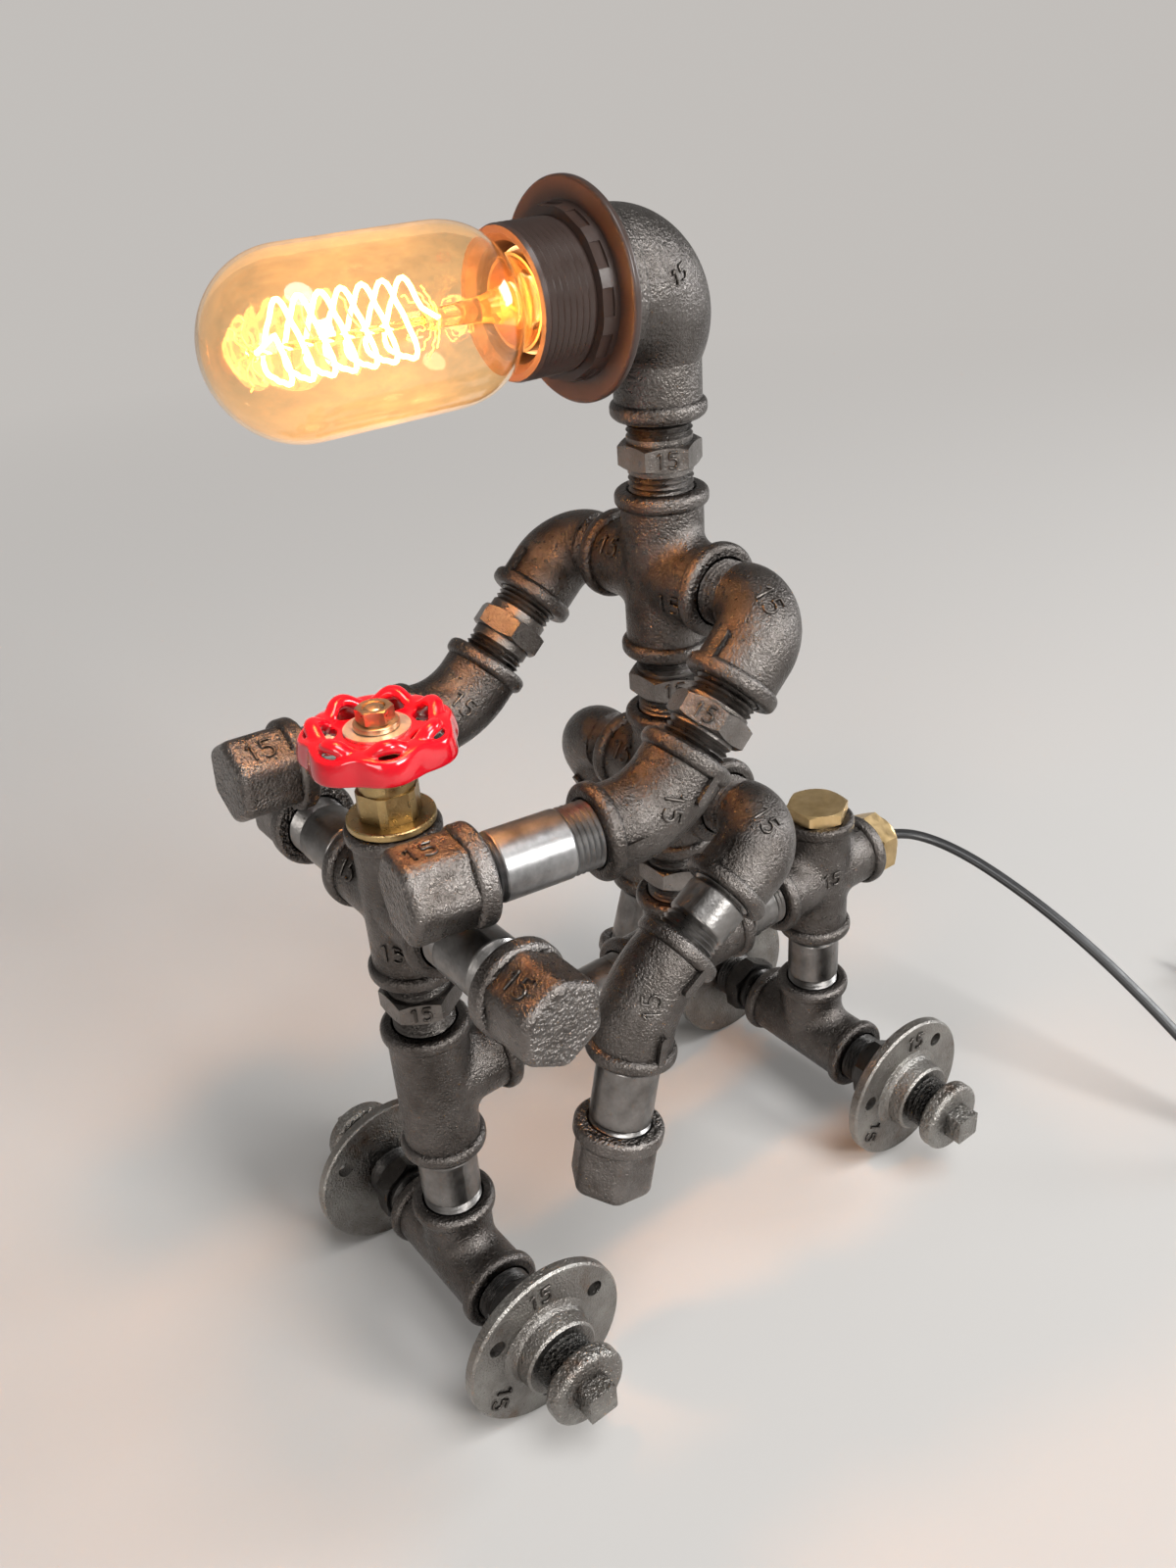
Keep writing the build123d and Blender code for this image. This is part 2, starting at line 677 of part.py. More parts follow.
with BuildPart() as handwheel:
    with BuildSketch(Plane.XY.offset(wheel_foot)) as scallops:
        with Locations((0, front_y)):
            Circle(15.0)
            with PolarLocations(16.6, wheel_lobes, start_angle=first_lobe):
                Circle(7.9)
        fillet(scallops.vertices(), 2.5)
    extrude(scallops.sketch, amount=wheel_rim_height)
    fillet(edges().group_by(Axis.Z)[-1], 3.4)
    dish = [(0, 0), (11.4, 0), (15.8, dish_depth + 0.1), (0, dish_depth + 0.1)]
    turned(Plane((0, front_y, dish_floor)), dish, Mode.SUBTRACT)
    turned(Plane((0, front_y, wheel_foot)), [(7.2, 0), (17.0, 0), (14.4, 5.2), (7.2, 5.2)], Mode.SUBTRACT)
    with BuildSketch(Plane.XY.offset(wheel_foot)) as windows:
        with Locations((0, front_y)):
            with PolarLocations(18.3, wheel_lobes, start_angle=first_lobe):
                SlotOverall(8.6, 4.2, rotation=90)
    extrude(windows.sketch, amount=wheel_rim_height, mode=Mode.SUBTRACT)
    bar(Plane((0, front_y, wheel_foot)), spindle_radius, wheel_rim_height, Mode.SUBTRACT)
save(handwheel, "handwheel")

with BuildPart() as handwheel_disc:
    turned(Plane((0, front_y, dish_floor)), [(spindle_radius, 0.05), (10.0, 0.05), (10.0, 0.85),
                                             (spindle_radius, 0.85)])
save(handwheel_disc, "handwheel_disc")

with BuildPart() as spindle_nut:
    nut_foot = Plane((0, front_y, dish_floor + 0.9))
    rounded_ring(nut_foot, 0, washer_radius, 0, washer_thickness, 0.5)
    hex_collar(Plane(nut_foot.origin + upward * washer_thickness), nut_flats, nut_height)
    bar(nut_foot, spindle_radius, washer_thickness + nut_height, Mode.SUBTRACT)
save(spindle_nut, "spindle_nut")

# Rotary switch under the bonnet, and the leads inside the pipes

switch_top = centre_to_face - 15.4

with BuildPart() as rotary_switch:
    switch_face = port(handlebar_centre, upward, switch_top)
    rounded_ring(switch_face, 0, bore_radius - 0.3, -14.0, 0, 0.8)
    bar(port(handlebar_centre, upward, switch_top - 14.0), 2.0, -3.0)
save(rotary_switch, "rotary_switch")


def lead(points, bends):
    """Round lead along straight runs joined by arcs."""
    with BuildLine() as route:
        FilletPolyline(*points, radius=bends)
    with BuildSketch(Plane(origin=route.line @ 0, z_dir=route.line % 0)) as disc:
        Circle(cord_radius - 0.05)
    sweep(disc.sketch, path=route.wire())
    return route


with BuildPart() as inner_lead:
    gland_outside = rear_centre + rearward * (gland_reach - 0.8)
    lead([gland_outside, frame_centre, chest_centre + upward * (centre_to_face + neck_gap)], [18.0])
save(inner_lead, "inner_lead")

with BuildPart() as switch_lead:
    splice = frame_centre + forward * 2.0
    lead([splice, front_centre, handlebar_centre + upward * (switch_top - 17.0)], [18.0])
save(switch_lead, "switch_lead")

with BuildPart() as head_lead:
    lead([port(head_centre, downward, head_rise).origin, head_centre, head_centre + forward * 13.9], [12.0])
save(head_lead, "head_lead")

# Mains cord: out of the gland, down to the floor, into a coil, and a tail to the plug

gland_exit = Vector(0, rear_y + gland_reach, frame_height)
floor_level = cord_radius + 0.05
coil_centre = Vector(176.0, 246.5, 0)
plug_back = Vector(149.0, 289.5, 7.2)
pin_radius, pin_length, pin_spread = 2.0, 19.0, 9.3


def cord_tube(points):
    """Tube of the cord along straight runs joined by arcs as large as the runs allow."""
    ends = [Vector(point) for point in points]
    runs = [after - before for before, after in zip(ends, ends[1:])]
    bends = []
    for before, after in zip(runs, runs[1:]):
        turn = radians(before.get_angle(after))
        bends.append(0.45 * min(before.length, after.length) / tan(turn / 2))
    with BuildLine() as route:
        FilletPolyline(*ends, radius=bends)
    with BuildSketch(Plane(origin=ends[0], z_dir=runs[0])) as disc:
        Circle(cord_radius)
    sweep(disc.sketch, path=route.wire())
    print("cord bends", [round(bend, 1) for bend in bends], "length", round(route.wire().length, 1))
    return route.wire().length


with BuildPart() as supply_cord:
    cord_route = [
        gland_exit,
        (1.6, 140.6, 110.9),
        (8.5, 152.1, 106.0),
        (21.5, 161.1, 99.5),
        (40.0, 168.1, 90.5),
        (61.0, 173.6, 80.0),
        (83.0, 178.1, 67.5),
        (105.0, 182.1, 53.0),
        (125.0, 186.1, 37.8),
        (142.0, 190.6, 23.8),
        (156.5, 196.6, 12.0),
        (168.5, 204.0, 5.0),
        (181.0, 212.2, floor_level),
    ]
    cord_length = cord_tube(cord_route)
save(supply_cord, "supply_cord")
print("cord volume over section", round(supply_cord.part.volume / (pi * cord_radius**2), 1))

with BuildPart() as cord_coil:
    with BuildSketch(Plane(origin=coil_centre, x_dir=leftward, z_dir=forward)) as bundle:
        with Locations((coil_radius, coil_height / 2 + 0.05)):
            RectangleRounded(coil_width, coil_height, 3.0)
    revolve(bundle.sketch, axis=Axis(coil_centre, upward))
save(cord_coil, "cord_coil")

with BuildPart() as cord_tail:
    tail_route = [
        (189.7, 278.3, 10.5),
        (177.5, 285.2, 8.2),
        (163.5, 289.5, 7.2),
        plug_back,
    ]
    tail_length = cord_tube(tail_route)
save(cord_tail, "cord_tail")

with BuildPart() as mains_plug:
    relief_end = port(plug_back, rightward)
    turned(relief_end, [(0, 0), (3.4, 0), (5.4, 24.0), (0, 24.0)])
    with BuildSketch(Plane(origin=plug_back + rightward * 23.0, x_dir=rearward, z_dir=rightward)) as heel:
        RectangleRounded(20.0, 11.0, 4.0)
    with BuildSketch(Plane(origin=plug_back + rightward * 58.0, x_dir=rearward, z_dir=rightward)) as nose:
        RectangleRounded(34.0, 14.0, 5.0)
    loft([heel.sketch, nose.sketch])
    for pin_side in (-pin_spread, pin_spread):
        pin_foot = plug_back + rightward * 57.0 + rearward * pin_side
        rounded_ring(port(pin_foot, rightward), 0, pin_radius, 0, pin_length + 1.0, 1.0)
save(mains_plug, "mains_plug")

coil_turns = (1800.0 - cord_length - tail_length) / (2 * pi * coil_radius)
print("turns in the coil", round(coil_turns, 2))
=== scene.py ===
from math import pi

import bmesh
import bpy
import numpy as np
from mathutils import Matrix, Vector
from mathutils.bvhtree import BVHTree


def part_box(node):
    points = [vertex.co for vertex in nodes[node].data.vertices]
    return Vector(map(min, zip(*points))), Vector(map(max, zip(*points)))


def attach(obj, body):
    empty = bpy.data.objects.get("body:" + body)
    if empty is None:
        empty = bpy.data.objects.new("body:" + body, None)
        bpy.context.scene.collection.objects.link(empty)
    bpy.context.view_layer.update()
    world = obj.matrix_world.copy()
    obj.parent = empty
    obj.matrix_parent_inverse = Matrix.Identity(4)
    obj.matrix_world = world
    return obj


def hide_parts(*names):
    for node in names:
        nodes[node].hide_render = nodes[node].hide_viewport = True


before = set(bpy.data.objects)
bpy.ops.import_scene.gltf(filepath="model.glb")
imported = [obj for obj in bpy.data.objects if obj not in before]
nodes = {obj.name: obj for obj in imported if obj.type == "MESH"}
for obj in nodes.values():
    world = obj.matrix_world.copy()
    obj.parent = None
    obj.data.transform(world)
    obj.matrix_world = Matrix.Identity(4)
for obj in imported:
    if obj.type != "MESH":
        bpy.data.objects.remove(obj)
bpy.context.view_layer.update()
scene = bpy.context.scene
mm = 0.001

# Places that the lamp's pieces share, in millimetres like part.py. The columns stand at bodyY, frontY
# and rearY. The rest are the heights of the axes of the lamp holder, the chest cross, the hip and
# handlebar crosses, the frame's pipes and the wheels.
bodyY = 12.625
frontY = bodyY - 111.0
rearY = bodyY + 76.0
headZ = 357.65
chestZ = 266.85
hipZ = 190.05
frameZ = 113.25
wheelZ = 31.25

# Middle of the glowing filament, in metres
hotPoint = (0.0, (bodyY - 98.0) * mm, headZ * mm)


view = {
    "place": (0.30706, -0.245785, 0.41621),
    "ahead": (-0.7052, 0.5082, -0.4945),
    "up": (-0.3569, 0.3483, 0.8668),
    "lens": 29.535,
    "sensor": 36.0,
    "nearest": 0.01,
}


def makeCamera():
    data = bpy.data.cameras.new("camera")
    data.lens = view["lens"]
    data.sensor_width = view["sensor"]
    data.clip_start = view["nearest"]
    camera = bpy.data.objects.new("camera", data)
    scene.collection.objects.link(camera)
    ahead = Vector(view["ahead"]).normalized()
    right = ahead.cross(Vector(view["up"])).normalized()
    up = right.cross(ahead)
    turn = Matrix((right, up, -ahead)).transposed()
    camera.matrix_world = Matrix.Translation(view["place"]) @ turn.to_4x4()
    scene.camera = camera


makeCamera()


def putMesh(name, points, faces, body, scale=mm):
    # Smooth mesh object from points in millimetres and a list or array of faces, riding on a body.
    mesh = bpy.data.meshes.new(name)
    mesh.from_pydata(np.asarray(points, float) * scale, [], [list(map(int, face)) for face in faces])
    mesh.validate()
    mesh.polygons.foreach_set("use_smooth", np.ones(len(mesh.polygons), bool))
    mesh.update()
    piece = bpy.data.objects.new(name, mesh)
    scene.collection.objects.link(piece)
    if body:
        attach(piece, body)
    return piece


def weld(piece, outward=False):
    # Piece's doubled points merged, and its faces turned outwards where asked.
    welded = bmesh.new()
    welded.from_mesh(piece.data)
    bmesh.ops.remove_doubles(welded, verts=welded.verts, dist=1e-7)
    if outward:
        bmesh.ops.recalc_face_normals(welded, faces=welded.faces)
    welded.to_mesh(piece.data)
    welded.free()


def applyModifiers(piece):
    # Piece's modifiers worked into its mesh.
    graph = bpy.context.evaluated_depsgraph_get()
    final = bpy.data.meshes.new_from_object(piece.evaluated_get(graph), depsgraph=graph)
    piece.modifiers.clear()
    piece.data = final


def roundAngles(count):
    return np.linspace(0, 2 * pi, count, endpoint=False)


def unit(vectors):
    return vectors / np.linalg.norm(vectors, axis=-1, keepdims=True)


def around(radius, angle, height, centre=(0.0, 0.0, 0.0)):
    # Points at x = r cos a, y = r sin a, z = h from the centre, for whole arrays.
    places = np.broadcast_arrays(radius * np.cos(angle), radius * np.sin(angle), height)
    return np.stack(places, axis=-1) + centre


def lathe(profile, turns):
    # Grid of an open or closed (radius, height) profile turned about the height axis.
    profile = np.asarray(profile, float)
    return around(profile[:, :1], roundAngles(turns), profile[:, 1:])


def tubeAlong(path, section, across):
    # Section carried along a path: point = path + u * width direction + v * height direction, where the
    # width direction is square to the path and to across, and the height direction to both.
    path = np.asarray(path, float)
    tangent = unit(np.gradient(path, axis=0))
    width = unit(np.cross(tangent, across))
    height = np.cross(width, tangent)
    return path[:, None] + section[None, :, 0:1] * width[:, None] + section[None, :, 1:2] * height[:, None]


def smoothPath(corners, spacing=0.28, rounds=3):
    # Corners joined at even spacing and averaged with their neighbours a few times, ends kept.
    corners = np.asarray(corners, float)
    length = np.concatenate([[0], np.cumsum(np.linalg.norm(np.diff(corners, axis=0), axis=1))])
    where = np.linspace(0, length[-1], max(4, int(length[-1] / spacing)))
    path = np.stack([np.interp(where, length, corners[:, axis]) for axis in range(corners.shape[1])], axis=-1)
    for _ in range(rounds):
        path[1:-1] = 0.25 * path[:-2] + 0.5 * path[1:-1] + 0.25 * path[2:]
    return path


def gridFaces(rows, columns, closeRows=False, closeColumns=False):
    # Quads of a rows by columns grid of points, joined round where a direction closes.
    rowSteps = rows if closeRows else rows - 1
    columnSteps = columns if closeColumns else columns - 1
    row, column = np.meshgrid(np.arange(rowSteps), np.arange(columnSteps), indexing="ij")
    nextRow, nextColumn = (row + 1) % rows, (column + 1) % columns
    corners = [row * columns + column, nextRow * columns + column,
               nextRow * columns + nextColumn, row * columns + nextColumn]
    return np.stack(corners, axis=-1).reshape(-1, 4)


def cappedTube(grid):
    # Closed skin of a tube grid (rows along the path, columns round it), with both ends filled.
    rows, columns = grid.shape[:2]
    faces = [list(face) for face in gridFaces(rows, columns, closeColumns=True)[:, ::-1]]
    faces.append(list(range(columns)))
    faces.append([(rows - 1) * columns + index for index in range(columns)][::-1])
    return grid.reshape(-1, 3), faces


def joined(parts):
    # Several pairs of points and faces as one pair.
    points, faces, count = [], [], 0
    for partPoints, partFaces in parts:
        flat = np.asarray(partPoints, float).reshape(-1, 3)
        points.append(flat)
        faces += [[int(index) + count for index in face] for face in partFaces]
        count += len(flat)
    return np.concatenate(points), faces


cord = {
    "length": 1.8,
    "width": 5.5,
    "thickness": 3.9,
    "sides": 20,
    "groove": 0.16,  # depth and width of the groove between the two cores, as shares of the cord's own
    "grooveWidth": 0.28,
    "route": [
        (0.0, 129.625, 113.25), (1.6, 140.6, 110.9), (8.5, 152.1, 106.0), (21.5, 161.1, 99.5),
        (40.0, 168.1, 90.5), (61.0, 173.6, 80.0), (83.0, 178.1, 67.5), (105.0, 182.1, 53.0),
        (125.0, 186.1, 37.8), (142.0, 190.6, 23.8), (156.5, 196.6, 12.0), (168.5, 204.0, 5.0),
        (181.0, 212.2, 2.8),
    ],
    "tail": [(189.7, 278.3, 10.5), (177.5, 285.2, 8.2), (163.5, 289.5, 7.2), (149.0, 289.5, 7.2)],
    "coilCentre": (176.0, 246.5),
    # radius and height at the start of each turn
    "coilRadii": [34.6, 29.1, 23.6, 23.6, 29.1, 34.6, 27.0, 32.8, 34.6, 34.6],
    "coilHeights": [2.9, 2.9, 2.9, 7.4, 7.4, 7.4, 12.0, 12.0, 11.4, 10.5],
    "turns": 8.41,
    "pointsPerTurn": 16,
    "stepLength": 0.28,  # last share of each turn, in which it moves over to the next one's place
    "wobble": 0.35,
}


def coilPoints():
    # Turns side by side and on each other. Each moves over to the next one's radius and height as
    # 3 s^2 - 2 s^3, and the radius wobbles by a sine of twice the angle.
    centre, entry = cord["coilCentre"], cord["route"][-1]
    start = np.arctan2(entry[1] - centre[1], entry[0] - centre[0])
    turn = np.linspace(0, cord["turns"], int(cord["turns"] * cord["pointsPerTurn"]))[2:-1]
    index = np.floor(turn).astype(int)
    step = np.clip((turn - index - (1 - cord["stepLength"])) / cord["stepLength"], 0, 1)
    step = step * step * (3 - 2 * step)
    radii, heights = np.array(cord["coilRadii"]), np.array(cord["coilHeights"])
    radius = radii[index] * (1 - step) + radii[index + 1] * step
    height = heights[index] * (1 - step) + heights[index + 1] * step
    angle = start + 2 * pi * turn
    radius += cord["wobble"] * np.sin(2 * angle + 1.3 * index)
    return around(radius, angle, height, (*centre, 0.0))


def cordLine():
    # Points of one smooth spline along the route, the coil and the tail, in metres.
    route = np.concatenate([np.array(cord["route"]), coilPoints(), np.array(cord["tail"])]) * mm
    curve = bpy.data.curves.new("cordRoute", "CURVE")
    curve.dimensions = "3D"
    curve.resolution_u = 10
    spline = curve.splines.new("NURBS")
    spline.points.add(len(route) - 1)
    spline.points.foreach_set("co", np.column_stack([route, np.ones(len(route))]).ravel())
    spline.order_u = 3
    spline.use_endpoint_u = True
    guide = bpy.data.objects.new("cordRoute", curve)
    scene.collection.objects.link(guide)
    line = bpy.data.meshes.new_from_object(guide)
    path = np.empty(len(line.vertices) * 3)
    line.vertices.foreach_get("co", path)
    bpy.data.objects.remove(guide)
    return path.reshape(-1, 3)


def makeCord(path):
    # Two round cores in one flat jacket: an oval whose thickness dips by g exp(-(cos a / w)^2).
    angle = roundAngles(cord["sides"])
    half = cord["width"] / 2 * mm
    thick = cord["thickness"] / 2 * mm
    dip = 1 - cord["groove"] * np.exp(-(np.cos(angle) / cord["grooveWidth"]) ** 2)
    section = np.stack([half * np.cos(angle), thick * np.sin(angle) * dip], axis=-1)
    points, faces = cappedTube(tubeAlong(path, section, np.array([0.0, 0.0, 1.0])))
    return putMesh("mains_cord", points, faces, "root", scale=1.0)


cordPath = cordLine()
mainsCord = makeCord(cordPath)
print("camera and cord made")


def newMaterial(name):
    material = bpy.data.materials.new(name)
    material.use_nodes = True
    tree = material.node_tree
    shader = tree.nodes["Principled BSDF"]
    return material, tree, shader


def coordinates(tree, kind="Object"):
    return tree.nodes.new("ShaderNodeTexCoord").outputs[kind]


def noiseNode(tree, scale, detail=2.0, roughness=0.5, stretch=None):
    # Noise on Object coordinates, in features per metre.
    texture = tree.nodes.new("ShaderNodeTexNoise")
    texture.inputs["Scale"].default_value = scale
    texture.inputs["Detail"].default_value = detail
    texture.inputs["Roughness"].default_value = roughness
    where = coordinates(tree)
    if stretch:
        mapping = tree.nodes.new("ShaderNodeMapping")
        mapping.inputs["Scale"].default_value = stretch
        tree.links.new(where, mapping.inputs["Vector"])
        where = mapping.outputs["Vector"]
    tree.links.new(where, texture.inputs["Vector"])
    return texture.outputs["Fac"]


def rampNode(tree, value, stops):
    ramp = tree.nodes.new("ShaderNodeValToRGB")
    elements = ramp.color_ramp.elements
    while len(elements) < len(stops):
        elements.new(0.5)
    for element, (place, color) in zip(elements, stops):
        element.position = place
        element.color = (*color, 1)
    tree.links.new(value, ramp.inputs["Fac"])
    return ramp.outputs["Color"]


def mathNode(tree, operation, first, second=0.0):
    node = tree.nodes.new("ShaderNodeMath")
    node.operation = operation
    for socket, value in zip(node.inputs, (first, second)):
        if isinstance(value, bpy.types.NodeSocket):
            tree.links.new(value, socket)
        else:
            socket.default_value = value
    return node.outputs["Value"]


def vectorNode(tree, operation, first, second=None):
    node = tree.nodes.new("ShaderNodeVectorMath")
    node.operation = operation
    tree.links.new(first, node.inputs[0])
    if second is not None:
        node.inputs[1].default_value = second
    return node.outputs["Value"]


def rangeNode(tree, value, low, high, start=0.3, end=0.7):
    # Value turned from the range of start to end into that of low to high.
    node = tree.nodes.new("ShaderNodeMapRange")
    node.inputs["From Min"].default_value = start
    node.inputs["From Max"].default_value = end
    node.inputs["To Min"].default_value = low
    node.inputs["To Max"].default_value = high
    tree.links.new(value, node.inputs["Value"])
    return node.outputs["Result"]


def bumpNode(tree, height, distance, before=None):
    bump = tree.nodes.new("ShaderNodeBump")
    bump.inputs["Strength"].default_value = 1.0
    bump.inputs["Distance"].default_value = distance
    tree.links.new(height, bump.inputs["Height"])
    if before is not None:
        tree.links.new(before, bump.inputs["Normal"])
    return bump.outputs["Normal"]


def dimmed(tree, color, share):
    mix = tree.nodes.new("ShaderNodeVectorMath")
    mix.operation = "SCALE"
    tree.links.new(color, mix.inputs[0])
    tree.links.new(share, mix.inputs["Scale"])
    return mix.outputs["Vector"]


def creviceShadeNode(tree, color, distance=0.009, darkest=0.22):
    # Painted shade: color darkened where neighbouring surfaces close in, as ambient occlusion finds them.
    shut = tree.nodes.new("ShaderNodeAmbientOcclusion")
    shut.samples = 4
    shut.inputs["Distance"].default_value = distance
    return dimmed(tree, color, rangeNode(tree, shut.outputs["AO"], darkest, 1.0, start=0.25, end=0.9))


def darkThread(tree, color, reach, darkest=0.22):
    # Color darkened up to reach metres from the middle of the axle, where the plug's thread is.
    place = tree.nodes.new("ShaderNodeSeparateXYZ")
    tree.links.new(coordinates(tree), place.inputs["Vector"])
    out = mathNode(tree, "ABSOLUTE", place.outputs["X"])
    return dimmed(tree, color, rangeNode(tree, out, darkest, 1.0, start=reach - 0.0004, end=reach + 0.0002))


def endPebbles(tree, skin, outward):
    # Coarse pebbles on the skin where it faces along the outward direction, in the piece's own axes.
    share = mathNode(tree, "ABSOLUTE", vectorNode(tree, "DOT_PRODUCT", coordinates(tree, "Normal"), outward))
    pebbles = bumpNode(tree, noiseNode(tree, scale=720.0, detail=1.0), 0.0022, skin)
    tree.links.new(rangeNode(tree, share, 0.0, 1.0, start=0.80, end=0.95), pebbles.node.inputs["Strength"])
    return pebbles


def castMetal(name, stops, grain=1150.0, grainDepth=0.00055, rough=(0.24, 0.40), wave=0.00018, endFace=None,
              threadTo=None):
    # Cast skin: pebbled grain over slow waves, mottled between the stops' tones, with painted shade darkening
    # its crevices.
    material, tree, shader = newMaterial(name)
    color = rampNode(tree, noiseNode(tree, scale=60.0, detail=5.0, roughness=0.65), stops)
    if threadTo is not None:
        color = darkThread(tree, color, threadTo)
    # painted shade: the color is darkened in crevices and where parts meet
    tree.links.new(creviceShadeNode(tree, color), shader.inputs["Base Color"])
    shader.inputs["Metallic"].default_value = 1.0
    speckle = noiseNode(tree, scale=420.0, detail=3.0)
    tree.links.new(rangeNode(tree, speckle, *rough), shader.inputs["Roughness"])
    slow = bumpNode(tree, noiseNode(tree, scale=240.0), wave)
    skin = bumpNode(tree, noiseNode(tree, scale=grain, roughness=0.6), grainDepth, slow)
    if endFace is not None:
        skin = endPebbles(tree, skin, endFace)
    tree.links.new(skin, shader.inputs["Normal"])
    return material


def smoothMetal(name, dark, light, rough=(0.14, 0.28), grain=600.0, depth=0.00003):
    material, tree, shader = newMaterial(name)
    mottle = noiseNode(tree, scale=90.0, detail=4.0, roughness=0.65)
    tree.links.new(rampNode(tree, mottle, [(0.35, dark), (0.65, light)]), shader.inputs["Base Color"])
    shader.inputs["Metallic"].default_value = 1.0
    speckle = noiseNode(tree, scale=260.0, detail=3.0)
    tree.links.new(rangeNode(tree, speckle, *rough), shader.inputs["Roughness"])
    tree.links.new(bumpNode(tree, noiseNode(tree, scale=grain, detail=3.0), depth), shader.inputs["Normal"])
    return material


def plastic(name, color, rough, grain=900.0, depth=0.00002, lighter=1.25, coat=0.0):
    material, tree, shader = newMaterial(name)
    bright = tuple(min(1.0, part * lighter) for part in color)
    mottle = noiseNode(tree, scale=120.0, detail=3.0)
    tree.links.new(rampNode(tree, mottle, [(0.3, color), (0.7, bright)]), shader.inputs["Base Color"])
    speckle = noiseNode(tree, scale=300.0)
    tree.links.new(rangeNode(tree, speckle, rough - 0.05, rough + 0.06), shader.inputs["Roughness"])
    tree.links.new(bumpNode(tree, noiseNode(tree, scale=grain), depth), shader.inputs["Normal"])
    shader.inputs["Coat Weight"].default_value = coat
    shader.inputs["Coat Roughness"].default_value = 0.05
    return material


def glassMaterial(name, tint):
    material, tree, shader = newMaterial(name)
    shader.inputs["Base Color"].default_value = (*tint, 1)
    shader.inputs["Transmission Weight"].default_value = 1.0
    shader.inputs["Roughness"].default_value = 0.02
    shader.inputs["IOR"].default_value = 1.45
    return material


def catchLight(material, near, far, reach):
    # Streaks of light caught in the glass, which fade from the near strength at the filament to the far
    # strength at reach metres from its middle.
    tree = material.node_tree
    shader = tree.nodes["Principled BSDF"]
    away = vectorNode(tree, "DISTANCE", coordinates(tree), hotPoint)
    fade = rangeNode(tree, away, near, far, start=0.018, end=reach)
    swirl = noiseNode(tree, scale=150.0, detail=5.0, roughness=0.75, stretch=(1.0, 0.6, 1.0))
    streaks = rangeNode(tree, swirl, 0.65, 1.4, start=0.38, end=0.66)
    tree.links.new(mathNode(tree, "MULTIPLY", fade, streaks), shader.inputs["Emission Strength"])
    shader.inputs["Emission Color"].default_value = (1.0, 0.47, 0.13, 1)


def glowMaterial(name, color, strength):
    material, tree, shader = newMaterial(name)
    shader.inputs["Base Color"].default_value = (*color, 1)
    shader.inputs["Emission Color"].default_value = (*color, 1)
    shader.inputs["Emission Strength"].default_value = strength
    return material


# Tones of the cast metals, as (share of the mottling, color)
tones = {
    "iron": [(0.34, (0.072, 0.063, 0.057)), (0.66, (0.160, 0.147, 0.138))],
    "cap": [(0.34, (0.098, 0.086, 0.078)), (0.66, (0.215, 0.20, 0.19))],
    "hexagon": [(0.34, (0.135, 0.122, 0.112)), (0.66, (0.275, 0.258, 0.244))],
    "wheel": [(0.30, (0.15, 0.095, 0.065)), (0.43, (0.22, 0.205, 0.19)), (0.68, (0.34, 0.33, 0.31))],
    "thread": [(0.34, (0.045, 0.042, 0.040)), (0.66, (0.10, 0.096, 0.092))],
    "mark": [(0.34, (0.075, 0.066, 0.059)), (0.66, (0.150, 0.138, 0.128))],
    "brass": [(0.34, (0.36, 0.25, 0.11)), (0.66, (0.58, 0.42, 0.20))],
}

blackIron = castMetal("black_iron", tones["iron"])
hexIron = castMetal("hex_iron", tones["hexagon"], grain=1300.0, grainDepth=0.0003, rough=(0.26, 0.38))
wheelIron = castMetal("wheel_iron", tones["wheel"], grain=1100.0, rough=(0.26, 0.42))
plugIron = castMetal("plug_iron", tones["wheel"], grain=760.0, grainDepth=0.0011, rough=(0.24, 0.38),
                     threadTo=0.072)
threadIron = castMetal("thread_iron", tones["thread"], grain=1600.0, grainDepth=0.00012, rough=(0.26, 0.38))
markIron = castMetal("mark_iron", tones["mark"], grain=1600.0, grainDepth=0.0001)
brassCast = castMetal("brass_cast", tones["brass"], grain=1600.0, grainDepth=0.00014)
pipeSteel = smoothMetal("pipe_steel", (0.145, 0.138, 0.132), (0.255, 0.247, 0.24), rough=(0.27, 0.40),
                        grain=900.0, depth=0.00009)
brightSteel = smoothMetal("bright_steel", (0.17, 0.17, 0.172), (0.31, 0.31, 0.312), rough=(0.29, 0.41))
brass = smoothMetal("brass", (0.62, 0.44, 0.21), (0.82, 0.61, 0.33), rough=(0.28, 0.42), depth=0.00006)
copperBrass = smoothMetal("copper_brass", (0.50, 0.33, 0.20), (0.66, 0.48, 0.31), rough=(0.26, 0.38))
aluminium = smoothMetal("aluminium", (0.66, 0.65, 0.62), (0.80, 0.79, 0.76), rough=(0.34, 0.46))
nickel = smoothMetal("nickel", (0.56, 0.54, 0.50), (0.72, 0.70, 0.66), rough=(0.22, 0.34))
redPaint = plastic("red_paint", (0.50, 0.001, 0.010), 0.14, grain=260.0, depth=0.00010, lighter=1.12,
                   coat=0.6)
holderBrown = plastic("holder_brown", (0.036, 0.022, 0.018), 0.34)
ceramic = plastic("ceramic", (0.74, 0.70, 0.62), 0.35)
cordBlack = plastic("cord_black", (0.012, 0.012, 0.013), 0.38, grain=1500.0, depth=0.00003)
strapBlack = plastic("strap_black", (0.020, 0.020, 0.022), 0.62, grain=2200.0, depth=0.00012)
stemGlass = glassMaterial("stem_glass", (1.0, 0.86, 0.62))
bulbGlass = glassMaterial("bulb_glass", (1.0, 0.84, 0.62))
catchLight(bulbGlass, near=0.28, far=0.006, reach=0.044)
filamentGlow = glowMaterial("filament_glow", (1.0, 0.50, 0.16), 30.0)
hookGlow = glowMaterial("hook_glow", (1.0, 0.42, 0.09), 3.5)


def paint(material, *names):
    for name in names:
        slots = nodes[name].data.materials
        slots.clear()
        slots.append(material)


def middleOf(name):
    low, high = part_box(name)
    return (Vector(low) + Vector(high)) / 2


